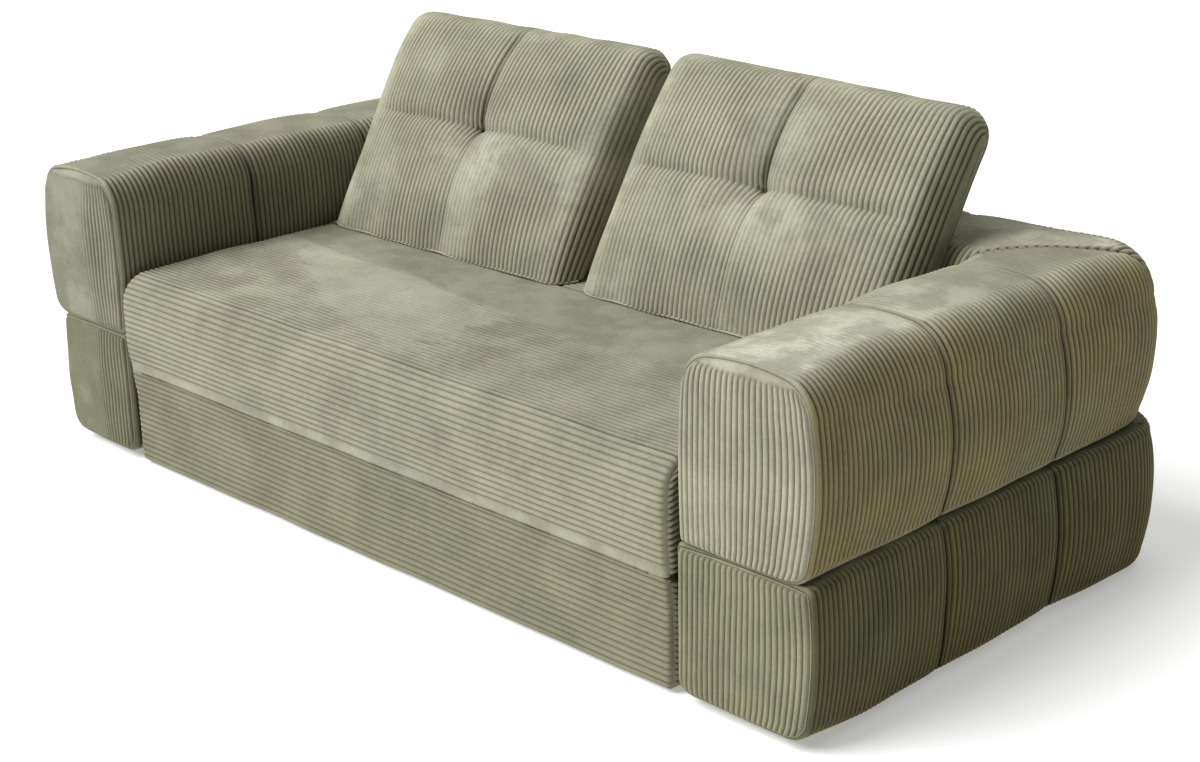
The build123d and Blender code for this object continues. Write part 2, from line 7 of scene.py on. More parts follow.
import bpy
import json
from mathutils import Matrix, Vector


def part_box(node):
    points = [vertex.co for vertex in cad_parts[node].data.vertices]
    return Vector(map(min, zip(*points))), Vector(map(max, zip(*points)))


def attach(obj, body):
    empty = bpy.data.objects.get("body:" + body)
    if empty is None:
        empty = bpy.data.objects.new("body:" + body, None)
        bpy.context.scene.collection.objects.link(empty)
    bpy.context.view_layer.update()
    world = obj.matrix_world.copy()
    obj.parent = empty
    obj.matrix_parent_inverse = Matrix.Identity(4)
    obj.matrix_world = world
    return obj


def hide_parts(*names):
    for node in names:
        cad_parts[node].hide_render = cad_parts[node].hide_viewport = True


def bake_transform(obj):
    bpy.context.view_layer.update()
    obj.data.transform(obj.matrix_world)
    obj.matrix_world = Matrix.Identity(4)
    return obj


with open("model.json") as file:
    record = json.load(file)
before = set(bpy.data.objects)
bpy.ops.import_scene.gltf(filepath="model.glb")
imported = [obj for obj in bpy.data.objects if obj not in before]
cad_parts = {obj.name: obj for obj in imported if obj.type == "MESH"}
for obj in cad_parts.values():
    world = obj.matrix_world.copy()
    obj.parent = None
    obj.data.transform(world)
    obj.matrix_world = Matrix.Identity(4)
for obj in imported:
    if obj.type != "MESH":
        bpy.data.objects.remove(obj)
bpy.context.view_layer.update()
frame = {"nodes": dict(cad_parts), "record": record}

# %%  Open the tool box
import json
import math
from types import SimpleNamespace

import bpy
import numpy as np
from mathutils import Matrix, Vector

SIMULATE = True
print("cloth simulation is", "on" if SIMULATE else "skipped")

# %% [markdown]
# ## The camera
# A camera can be placed by eye, or fitted to the photograph's edges. It was fitted here, because
# then every later difference is a fault of the model and not of the view.

# %%  Stand the camera where the photographer stood
YAW, PITCH, ROLL = (math.radians(angle) for angle in (44.90, 19.46, -0.84))
CAMERA_PLACE = (2.674, -2.578, 1.533)
FOCAL_PIXELS, PHOTO_WIDTH, SENSOR = 2057.1, 1200, 36.0

forward = Vector((-math.sin(YAW) * math.cos(PITCH), math.cos(YAW) * math.cos(PITCH), -math.sin(PITCH)))
level_right = forward.cross(Vector((0, 0, 1))).normalized()
level_up = level_right.cross(forward)
right = math.cos(ROLL) * level_right + math.sin(ROLL) * level_up
up = math.cos(ROLL) * level_up - math.sin(ROLL) * level_right
camera_data = bpy.data.cameras.new("view_camera")
camera_data.sensor_width = SENSOR
camera_data.lens = FOCAL_PIXELS / PHOTO_WIDTH * SENSOR
camera_data.clip_end = 60
camera = bpy.data.objects.new("view_camera", camera_data)
bpy.context.scene.collection.objects.link(camera)
camera.matrix_world = Matrix.Translation(CAMERA_PLACE) @ Matrix((right, up, -forward)).transposed().to_4x4()
bpy.context.scene.camera = camera
print("lens", round(camera_data.lens, 1), "mm")

# %% [markdown]
# ## How a corduroy cover is drawn
# Corduroy is a cloth with raised ribs. A rib runs in one direction over a whole panel, so each
# cover is drawn as a row of rib lines. A rib line is a loop of points round the piece. Six lines
# make one rib from groove to groove, and only a few points are needed along each line.

# %%  Sizes of the cloth
WALE = 0.0116
PANEL_WALE = 0.0099
LINES_PER_WALE = 6
WALE_HEIGHT = 0.0030


def rib_places(breaks, wale=WALE):
    """Places of the rib lines between seams, with a groove at each seam, and their count of ribs."""
    places, counts, done = [], [], 0
    for start, end in zip(breaks[:-1], breaks[1:]):
        ribs = max(round((end - start) / wale), 1)
        steps = ribs * LINES_PER_WALE
        places += [start + (end - start) * step / steps for step in range(steps)]
        counts += [done + step / LINES_PER_WALE for step in range(steps)]
        done += ribs
    return np.array(places + [breaks[-1]]), np.array(counts + [done], float)


def even_places(breaks, gap):
    """Coarser places with the same seams, for the cloth simulation."""
    places = []
    for start, end in zip(breaks[:-1], breaks[1:]):
        places += list(np.linspace(start, end, max(round((end - start) / gap), 1) + 1)[:-1])
    return np.array(places + [breaks[-1]])


# %%  Helpers that draw smooth lines
def placed(line, shares):
    """Points at shares of a line's length."""
    steps = np.hypot(*np.diff(line, axis=0).T)
    along = np.concatenate([[0], np.cumsum(steps)])
    return np.stack([np.interp(shares * along[-1], along, line[:, axis]) for axis in (0, 1)], 1)


def spaced(line, count):
    """Evenly spaced points along a line. Its last point is left to the next line."""
    return placed(line, np.arange(count) / count)


def crowded(count, spots, extra):
    """Shares from 0 to just under 1 that lie closer together near some spots."""
    dense = np.linspace(0, 1, 2001)
    density = 1 + sum(extra * hump(dense - spot, width) for spot, width in spots)
    along = np.concatenate([[0], np.cumsum((density[1:] + density[:-1]) / 2)])
    return np.interp(np.arange(count) / count * along[-1], along, dense)


def edge_drop(distance, radius):
    """How far a rounded edge has fallen, at a distance inside its wall."""
    inside = np.clip(radius - distance, 0, radius)
    return radius - np.sqrt(radius**2 - inside**2)


def edge_rise(distance, radius):
    """Share of its full height that a rounded edge has, at a distance inside its rim."""
    return np.sqrt(1 - (1 - np.clip(distance / radius, 0, 1)) ** 2)


def ease(value, start, end):
    """A smooth step from 0 to 1."""
    share = np.clip((value - start) / (end - start), 0, 1)
    return share * share * (3 - 2 * share)


def fading(distance, width):
    """1 at no distance, falling off sharply at first and then slowly."""
    return np.exp(-np.abs(distance) / width)


def hump(distance, width):
    """1 at no distance, with a round top and soft feet."""
    return np.exp(-((distance / width) ** 2))


def ripple(points, length, seed):
    """A smooth uneven field between about -1 and 1, the same on each run."""
    draw = np.random.default_rng(seed)
    total = np.zeros(points.shape[:-1])
    for _ in range(8):
        way = draw.normal(size=3)
        way *= 2 * math.pi / length * draw.uniform(0.6, 1.5) / np.linalg.norm(way)
        total += np.sin(points @ way + draw.uniform(0, 2 * math.pi))
    return total / 4


def outward_normals(loops):
    """Unit vectors that point out of a tube of loops."""
    along = np.gradient(loops, axis=0)
    around = np.roll(loops, -1, 1) - np.roll(loops, 1, 1)
    normal = np.cross(along, around)
    size = np.linalg.norm(normal, axis=2, keepdims=True)
    normal = normal / np.maximum(size, 1e-12)
    middle = loops.mean(1, keepdims=True)
    facing = np.sign(np.sum(normal * (loops - middle), axis=2).sum())
    return normal * facing


def inset_loops(loops2d, draws):
    """Loops in their own plane, each moved inwards by its own draw."""
    around = np.roll(loops2d, -1, 1) - np.roll(loops2d, 1, 1)
    normal = np.stack([around[..., 1], -around[..., 0]], -1)
    normal /= np.maximum(np.linalg.norm(normal, axis=2, keepdims=True), 1e-9)
    return loops2d - normal * draws[..., None]


# %%  A finer net from a coarse one
def cubic(values, places, wrap):
    """Smooth in-between rows of an array, at places counted in rows."""
    count = len(values)
    base = np.floor(places).astype(int)
    share = (places - base).reshape(-1, *[1] * (values.ndim - 1))
    rows = [base + step for step in (-1, 0, 1, 2)]
    rows = [row % count if wrap else np.clip(row, 0, count - 1) for row in rows]
    a, b, c, d = (values[row] for row in rows)
    bend = a - 2.5 * b + 2 * c - d / 2 + share * (1.5 * (b - c) + (d - a) / 2)
    return b + share * ((c - a) / 2 + share * bend)


def refine(field, coarse, fine, times):
    """A field on the coarse net, read off on the fine one."""
    rows = np.interp(fine, coarse, np.arange(len(coarse)))
    field = cubic(field, rows, False)
    columns = np.arange(field.shape[1] * times) / times
    return np.swapaxes(cubic(np.swapaxes(field, 0, 1), columns, True), 0, 1)


# %% [markdown]
# ## Stuffing
# A stuffed panel bulges between its seams. It could be sculpted, but air pressure in a cloth
# simulation finds the shape by itself: the seams are pinned, the cloth is cut a little too large,
# and the pressure pushes it out. The movement is kept small, because the frame inside is stiff.

# %%  Blow up a cover between its seams
SIM_FRAMES = 18
STUFFING = {
    "quality": 6, "mass": 0.35, "tension_stiffness": 12, "compression_stiffness": 12, "shear_stiffness": 5,
    "bending_stiffness": 1.2, "tension_damping": 12, "compression_damping": 12, "use_pressure": True,
}


def tube_net(loops):
    """A tube's points, their numbers row by row, and its four-sided faces."""
    index = np.arange(loops.shape[0] * loops.shape[1]).reshape(loops.shape[:2])
    quads = np.stack([index[:-1], index[1:], np.roll(index[1:], -1, 1), np.roll(index[:-1], -1, 1)], -1)
    return loops.reshape(-1, 3), index, quads.reshape(-1, 4)


def stuff(loops, pins, pressure, slack, limit):
    """How far each point of a closed net moves when its cloth is stuffed."""
    if not SIMULATE:
        return np.zeros_like(loops)
    flat, _, quads = tube_net(loops)
    if volume_of(flat, quads) < 0:
        quads = quads[:, ::-1]
    mesh = bpy.data.meshes.new("stuffing")
    mesh.from_pydata(flat.tolist(), [], quads.tolist())
    cloth = bpy.data.objects.new("stuffing", mesh)
    scene = bpy.context.scene
    scene.collection.objects.link(cloth)
    group = cloth.vertex_groups.new(name="pins")
    for row, weight in enumerate(pins.reshape(-1)):
        if weight > 0:
            group.add([row], float(weight), "REPLACE")
    settings = cloth.modifiers.new("stuffing", "CLOTH").settings
    for key, value in STUFFING.items():
        setattr(settings, key, value)
    settings.vertex_group_mass = group.name
    settings.uniform_pressure_force = pressure
    settings.shrink_min = -slack
    settings.effector_weights.gravity = 0
    for step in range(1, SIM_FRAMES + 1):
        scene.frame_set(step)
    done = cloth.evaluated_get(bpy.context.evaluated_depsgraph_get()).data
    moved = np.zeros(len(flat) * 3)
    done.vertices.foreach_get("co", moved)
    bpy.data.objects.remove(cloth)
    bpy.data.meshes.remove(mesh)
    scene.frame_set(1)
    move = moved.reshape(loops.shape) - loops
    size = np.linalg.norm(move, axis=2, keepdims=True)
    return move * np.minimum(1, limit / np.maximum(size, 1e-9)) * (1 - pins[..., None])


def volume_of(points, quads):
    """Signed volume inside a net of four-sided faces, above zero where they face outwards."""
    a, b, c, d = (points[quads[:, corner]] for corner in range(4))
    return (np.einsum("ij,ij", a, np.cross(b, c)) + np.einsum("ij,ij", a, np.cross(c, d))) / 6


# %%  Turn rib lines into a mesh
def linked(name, data):
    """A new object that shows some data."""
    piece = bpy.data.objects.new(name, data)
    bpy.context.scene.collection.objects.link(piece)
    return piece


def mark_points(mesh, key, values):
    """Write one number on each point of a mesh, for the node trees to read."""
    mesh.attributes.new(key, "FLOAT", "POINT").data.foreach_set("value", values.astype(np.float32))


def caps_of(index, strip):
    """The faces that close a tube's first ring. A strip is flat: its two halves lie back to back."""
    if not strip:
        return [index[0].tolist()]
    ring = index[0]
    return [[ring[j], ring[j + 1], ring[-2 - j], ring[-1 - j]] for j in range(len(ring) // 2 - 1)]


def cover_mesh(name, parts):
    """One mesh from several closed tubes of rib lines, with what the ribs, the dye and the painted shade need
    to know.
    """
    points, faces, marks, start = [], [], {}, 0
    for part in parts:
        flat, index, quads = tube_net(part.loops)
        strip = getattr(part, "strip", False)
        ends = caps_of(index, strip) + [face[::-1] for face in caps_of(index[::-1], strip)]
        if volume_of(flat, quads) < 0:
            quads, ends = quads[:, ::-1], [end[::-1] for end in ends]
        points.append(flat)
        faces += (quads + start).tolist() + [[int(v) + start for v in end] for end in ends]
        for key in ("wale_place", "wale_share", "pale", "dark", "shade"):
            values = np.broadcast_to(part.marks.get(key, 0.0), index.shape)
            marks.setdefault(key, []).append(values.reshape(-1))
        start += len(flat)
    mesh = bpy.data.meshes.new(name)
    mesh.from_pydata(np.concatenate(points).tolist(), [], faces)
    for key, values in marks.items():
        mark_points(mesh, key, np.concatenate(values))
    mesh.polygons.foreach_set("use_smooth", [True] * len(mesh.polygons))
    return linked(name, mesh)


# %% [markdown]
# ## Node trees
# Ribs, stitches and zip teeth repeat by the thousand. Geometry Nodes make them from one rule, so
# a change of pitch or height is one number. Shader nodes make the dye in the same way.

# %%  Helpers that build node trees
def add_node(tree, kind, links=(), **settings):
    """A node with its settings, and its inputs linked or set."""
    node = tree.nodes.new(kind)
    for key, value in settings.items():
        setattr(node, key, value)
    for socket, value in dict(links).items():
        if isinstance(value, bpy.types.NodeSocket):
            tree.links.new(value, node.inputs[socket])
        else:
            node.inputs[socket].default_value = value
    return node


def calculate(tree, operation, *values):
    """The result of one sum on numbers or sockets."""
    kind = "ShaderNodeMath"
    return add_node(tree, kind, enumerate(values), operation=operation).outputs[0]


def mixed(tree, share, first, second):
    """A colour between two others."""
    return add_node(tree, "ShaderNodeMix", {0: share, 6: first, 7: second}, data_type="RGBA").outputs[2]


def multiplied(tree, first, second):
    """Two colours multiplied."""
    return add_node(tree, "ShaderNodeVectorMath", {0: first, 1: second}, operation="MULTIPLY").outputs[0]


def scaled(tree, vector, share):
    """A vector or a colour, larger or smaller."""
    return add_node(tree, "ShaderNodeVectorMath", {0: vector, "Scale": share}, operation="SCALE").outputs[0]


def spread(tree, value, low, high, new_low, new_high, kind="LINEAR"):
    """A socket's value carried from one range to another."""
    links = {0: value, 1: low, 2: high, 3: new_low, 4: new_high}
    return add_node(tree, "ShaderNodeMapRange", links, interpolation_type=kind).outputs[0]


def noise(tree, where, scale, detail, **more):
    """Soft random values between 0 and 1."""
    links = {"Vector": where, "Scale": scale, "Detail": detail, **more}
    return add_node(tree, "ShaderNodeTexNoise", links).outputs["Fac"]


def new_shader(name):
    """A new material, its tree, its shader and the place on the object."""
    material = bpy.data.materials.new(name)
    material.use_nodes = True
    tree = material.node_tree
    where = add_node(tree, "ShaderNodeTexCoord").outputs["Object"]
    return material, tree, tree.nodes["Principled BSDF"], where


def set_inputs(shader, values):
    """Set several inputs of a node."""
    for key, value in values.items():
        shader.inputs[key].default_value = value


def start_tree(name, **inputs):
    """A geometry tree with named inputs, given as socket kind and first value."""
    tree = bpy.data.node_groups.new(name, "GeometryNodeTree")
    tree.interface.new_socket("Geometry", in_out="INPUT", socket_type="NodeSocketGeometry")
    ids = {}
    for label, (kind, value) in inputs.items():
        socket = tree.interface.new_socket(label, in_out="INPUT", socket_type="NodeSocket" + kind)
        if value is not None:
            socket.default_value = value
        ids[label] = socket.identifier
    tree.interface.new_socket("Geometry", in_out="OUTPUT", socket_type="NodeSocketGeometry")
    return tree, ids, tree.nodes.new("NodeGroupInput")


def end_tree(tree, geometry, material):
    """Close a tree with real geometry and a material."""
    solid = add_node(tree, "GeometryNodeRealizeInstances", {0: geometry}).outputs[0]
    dressed = add_node(tree, "GeometryNodeSetMaterial", {"Geometry": solid, "Material": material})
    add_node(tree, "NodeGroupOutput", {0: dressed.outputs[0]})


def grow(piece, tree, ids, **values):
    """Run a geometry tree on a piece and keep the plain mesh that comes out."""
    modifier = piece.modifiers.new(tree.name, "NODES")
    modifier.node_group = tree
    for label, value in values.items():
        modifier[ids[label]] = value
    evaluated = piece.evaluated_get(bpy.context.evaluated_depsgraph_get())
    mesh = bpy.data.meshes.new_from_object(evaluated)
    piece.modifiers.remove(modifier)
    old, piece.data = piece.data, mesh
    bpy.data.meshes.remove(old)
    mesh.name = piece.name
    return piece


# %%  The tree that raises the ribs
FLAT_TONE = 0.72


def build_wale_tree():
    """Ribs rise along their normals, and each point keeps its height from groove to crest."""
    tree, ids, given = start_tree(
        "corduroy_wales", Height=("Float", WALE_HEIGHT), Roundness=("Float", 2.6), Cloth=("Material", None),
    )
    kind = "GeometryNodeInputNamedAttribute"
    place = add_node(tree, kind, {"Name": "wale_place"}, data_type="FLOAT").outputs[0]
    share = add_node(tree, kind, {"Name": "wale_share"}, data_type="FLOAT").outputs[0]
    across = calculate(tree, "FRACT", place)
    offset = calculate(tree, "ABSOLUTE", calculate(tree, "MULTIPLY_ADD", across, 2.0, -1.0))
    ridge = calculate(tree, "SUBTRACT", 1.0, calculate(tree, "POWER", offset, given.outputs["Roundness"]))
    rise = calculate(tree, "MULTIPLY", calculate(tree, "MULTIPLY", ridge, share), given.outputs["Height"])
    # The stored tone tells the dye how much painted shade falls into the groove at each point
    flat_tone = calculate(tree, "MULTIPLY_ADD", share, -FLAT_TONE, FLAT_TONE)
    tone = calculate(tree, "MULTIPLY_ADD", ridge, share, flat_tone)
    push = scaled(tree, add_node(tree, "GeometryNodeInputNormal").outputs[0], rise)
    raised = add_node(tree, "GeometryNodeSetPosition", {"Geometry": given.outputs[0], "Offset": push})
    marked = add_node(
        tree, "GeometryNodeStoreNamedAttribute",
        {"Geometry": raised.outputs[0], "Name": "wale", "Value": tone}, data_type="FLOAT", domain="POINT",
    )
    end_tree(tree, marked.outputs[0], given.outputs["Cloth"])
    return tree, ids


wale_tree, wale_inputs = build_wale_tree()
print("rib tree has", len(wale_tree.nodes), "nodes")

# %% [markdown]
# ## The dye and its painted shade
# Corduroy looks pale on the crest of a rib, where the pile stands up to the light, and dark in
# the groove; the groove's dark colour is painted shade. Stroked pile leaves pale and dark patches.
# A flat green would look like plastic, so the colour follows the rib height, a pale mark on the
# mesh, and two sizes of uneven noise. Painted shade also darkens walls turned from the lamp,
# seams, creases and the low parts, and the seat and cushions get painted spots of light and shade.

# %% Dye the corduroy and paint its shade
CREST = (0.375, 0.368, 0.268)
GROOVE = (0.070, 0.062, 0.028)
STROKED = (0.490, 0.489, 0.385)
SHADED = (0.56, 0.475, 0.19)
WARM, COOL = (1.05, 0.98, 0.88), (0.93, 1.00, 0.98)
WHITE = (1, 1, 1, 1)
COMB = (7.0, 75.0, 1.0)
BRUSH_ALONG, BRUSH_ASIDE = 0.16, 0.05
SEAT_TOP = (0.375, 0.390)
CLOTH_FINISH = {
    "Roughness": 0.94, "Specular IOR Level": 0.10, "Sheen Weight": 0.12, "Sheen Roughness": 0.5,
    "Sheen Tint": (0.80, 0.80, 0.66, 1),
}


def tinted(colour, tint=(1, 1, 1)):
    """A colour darkened in red, green and blue, with the fourth number that a socket wants."""
    return tuple(value * share for value, share in zip(colour, tint)) + (1,)


def inside_of(tree, x, y, corners, soft):
    """1 inside a level polygon whose corners run counter-clockwise, and softly 0 outside."""
    total = 1.0
    for (x0, y0), (x1, y1) in zip(corners, corners[1:] + corners[:1]):
        length = math.hypot(x1 - x0, y1 - y0)
        a, b = (y0 - y1) / length, (x1 - x0) / length
        depth = calculate(tree, "MULTIPLY_ADD", x, a, -(a * x0 + b * y0))
        depth = calculate(tree, "MULTIPLY_ADD", y, b, depth)
        total = calculate(tree, "MINIMUM", total, spread(tree, depth, -soft, soft, 0.0, 1.0, "SMOOTHSTEP"))
    return total


def brushed(tree, where, wide, patches, soft, mark):
    """A mark with level polygons added on the seat's top, combed out along the ribs. They hold stroked pile,
    painted light and a painted shadow.
    """
    if not patches:
        return mark
    split = add_node(tree, "ShaderNodeSeparateXYZ", {0: where})
    swept = add_node(tree, "ShaderNodeMapping", {"Vector": where, "Scale": COMB}).outputs[0]
    x = calculate(tree, "SUBTRACT", split.outputs[0], BRUSH_ALONG / 2)
    x = calculate(tree, "MULTIPLY_ADD", noise(tree, swept, 1.0, 3.0), BRUSH_ALONG, x)
    y = calculate(tree, "SUBTRACT", split.outputs[1], BRUSH_ASIDE / 2)
    y = calculate(tree, "MULTIPLY_ADD", wide, BRUSH_ASIDE, y)
    up = spread(tree, split.outputs[2], *SEAT_TOP, 0.0, 1.0)
    for corners, strength in patches:
        patch = calculate(tree, "MULTIPLY", inside_of(tree, x, y, corners, soft), strength)
        mark = calculate(tree, "MAXIMUM", mark, calculate(tree, "MULTIPLY", patch, up))
    return mark


def make_corduroy(name, tint=(1, 1, 1), strokes_and_light=(), shades=()):
    """Velvety ribbed cloth. Tint darkens red, green and blue. Strokes are pale polygons of stroked pile and
    painted light; shades are dark polygons of nap and painted shadow.
    """
    material, tree, shader, where = new_shader(name)
    wale, pale, dark, shade = (
        add_node(tree, "ShaderNodeAttribute", attribute_name=key).outputs["Fac"]
        for key in ("wale", "pale", "dark", "shade")
    )
    wide = noise(tree, where, 9.0, 5.0, Roughness=0.62)
    fine = noise(tree, where, 160.0, 3.0)
    # Stroked pile is palest where the wide noise is high
    rubbed = spread(tree, wide, 0.44, 0.57, 0.0, 1.0, "SMOOTHSTEP")
    amount = calculate(tree, "MULTIPLY", pale, calculate(tree, "MULTIPLY_ADD", rubbed, 0.6, 0.4))
    amount = brushed(tree, where, wide, strokes_and_light, 0.012, amount)
    dark = brushed(tree, where, wide, shades, 0.005, dark)
    # From groove to crest: the groove's dark colour is painted shade between the ribs
    colour = mixed(tree, calculate(tree, "POWER", wale, 0.8), tinted(GROOVE, tint), tinted(CREST, tint))
    colour = mixed(tree, amount, colour, tinted(STROKED, tint))
    # Walls that face away from the light turn darker and greener, most of all in their grooves
    turning = calculate(tree, "MULTIPLY", shade, calculate(tree, "MULTIPLY_ADD", wale, -0.40, 1.0))
    colour = multiplied(tree, colour, mixed(tree, turning, WHITE, tinted(SHADED)))
    patchy = spread(tree, noise(tree, where, 5.0, 3.0), 0.36, 0.64, 0.0, 1.0, "SMOOTHSTEP")
    hue = mixed(tree, patchy, tinted(WARM), tinted(COOL))
    hue = mixed(tree, calculate(tree, "MULTIPLY_ADD", shade, 0.70, 0.12), WHITE, hue)
    specks = spread(tree, fine, 0.3, 0.7, -0.07, 0.07)
    uneven = calculate(tree, "ADD", spread(tree, wide, 0.3, 0.7, 0.82, 1.14), specks)
    level = calculate(tree, "MULTIPLY", uneven, calculate(tree, "SUBTRACT", 1.0, dark))
    tree.links.new(scaled(tree, multiplied(tree, colour, hue), level), shader.inputs["Base Color"])
    hair = {"Strength": 0.5, "Distance": 0.0006, "Height": noise(tree, where, 900.0, 2.0)}
    tree.links.new(add_node(tree, "ShaderNodeBump", hair).outputs[0], shader.inputs["Normal"])
    set_inputs(shader, CLOTH_FINISH)
    return material


cloth_green = make_corduroy("corduroy_green")
# The lower tier and the base are darker copies of the same cloth: painted shade for parts that sit low, under
# the tier or seat above them
cloth_lower_shaded = make_corduroy("corduroy_green_lower_shaded", tint=(0.70, 0.71, 0.62))
cloth_base_shaded = make_corduroy("corduroy_green_base_shaded", tint=(0.71, 0.71, 0.66))
print("dyed", cloth_green.name, cloth_lower_shaded.name, "and", cloth_base_shaded.name)


# %%  Raise the ribs on a cover and hang it on its body
def finish_cover(piece, body, nodes, cloth=cloth_green):
    """Raise the ribs, hang the cover on its body, and hide the measured parts that it stands for."""
    grow(piece, wale_tree, wale_inputs, Height=WALE_HEIGHT, Cloth=cloth)
    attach(piece, body)
    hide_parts(*nodes)
    print(piece.name, len(piece.data.vertices), "points")


# %% [markdown]
# ## The surround
# Three fat rolls run round the seat, in two tiers. Where an arm meets the back the rolls are
# mitred, like a picture frame. A rib line is a plane cut through the roll, so past the inner
# corner it simply ends on the mitre.

# %%  Read the surround's sizes from the measured model
arm_low, arm_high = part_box("right_arm_upper_cover")
lower_low, lower_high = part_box("right_arm_lower_cover")
rail_low, rail_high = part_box("back_upper_cover")
INNER_CORNER, OUTER_CORNER = 0.008, 0.130
PUFF_OUT, PUFF_UP, PUFF_REAR = 0.020, 0.024, 0.018
ARM_FRONT = arm_low.y
# Seams are counted along the roll from the sofa's own middle.
ARM_SEAMS = (-0.1475, 0.1625)
RAIL_SEAMS = (-0.620, -0.207, 0.207, 0.620)
ARM_INNER = 0.744
RAIL_FRONT = 0.2025
arm_roll = SimpleNamespace(
    pivot=(RAIL_FRONT - INNER_CORNER, ARM_INNER - INNER_CORNER),
    centre=(rail_high.y + PUFF_REAR - OUTER_CORNER, arm_high.x + PUFF_OUT - OUTER_CORNER),
    outer=arm_high.x + PUFF_OUT,
)
rail_roll = SimpleNamespace(
    pivot=arm_roll.pivot[::-1], centre=arm_roll.centre[::-1], outer=rail_high.y + PUFF_REAR,
)
FLOOR_GAP = 0.004
# Lift raises the bottom edge towards the front. The darks belong to the outer walls and to the left
# arm's end panel, which turn away from the lamp.
# Corner rounds: inner bottom, outer bottom, outer top, inner top. Swells: bottom, outer, top, inner.
upper_tier = SimpleNamespace(
    low=arm_low.z - 0.0085, high=arm_high.z + PUFF_UP, rounds=(0.012, 0.038, 0.070, 0.050),
    swells=(0.003, 0.018, 0.020, 0.004), lift=0.0, wall_dark=0.18, panel_dark=0.31,
)
lower_tier = SimpleNamespace(
    low=FLOOR_GAP, high=lower_high.z - 0.0015, rounds=(0.030, 0.042, 0.018, 0.010),
    swells=(0.0, 0.012, 0.003, 0.0), lift=0.011, wall_dark=0.38, panel_dark=0.20,
)
print("arm", [round(v, 3) for v in (*arm_low, *arm_high)])
print("rail", [round(v, 3) for v in (*rail_low, *rail_high)])

# %%  Let the rolls depart a little from their plan
TUCK, CORNER_PUSH, CROWN_LEFT = 0.032, 0.016, 0.010
PUSH_ASIDE, PUSH_BACK, PUSH_UPPER = 0.8, 0.6, 0.6
# Each pair says where an effect starts and where it is whole.
CORNER_REACH, PUSH_HEIGHT = (1.10, 1.40), (0.38, 0.50)
CROWN_ACROSS, CROWN_HEIGHT = (ARM_INNER - 0.01, ARM_INNER + 0.06), (0.46, 0.56)
CROWN_ALONG, TUCK_ACROSS = (ARM_FRONT, ARM_FRONT + 0.18), (ARM_INNER + 0.06, arm_high.x)


def settled(points, tier):
    """The lower left wall stands in, the rear corners push out, and the left arm's top is crowned."""
    x, y, z = np.moveaxis(points, -1, 0)
    corner = CORNER_PUSH * ease(np.abs(x) + y, *CORNER_REACH)
    if tier is upper_tier:
        corner = PUSH_UPPER * corner * ease(z, *PUSH_HEIGHT)
        crown = CROWN_LEFT * ease(-x, *CROWN_ACROSS) * ease(z, *CROWN_HEIGHT)
        lean, rise = 0 * x, crown * ease(y, *CROWN_ALONG)
    else:
        lean, rise = TUCK * ease(-x, *TUCK_ACROSS), 0 * x
    return points + np.stack([lean + PUSH_ASIDE * corner * np.sign(x), PUSH_BACK * corner, rise], -1)


# %%  Draw one rib line round a roll
RUNS = (12, 14, 14, 10)
QUARTER = np.linspace(0, math.pi / 2, 14)
LEVEL = np.linspace(0, 1, 16)


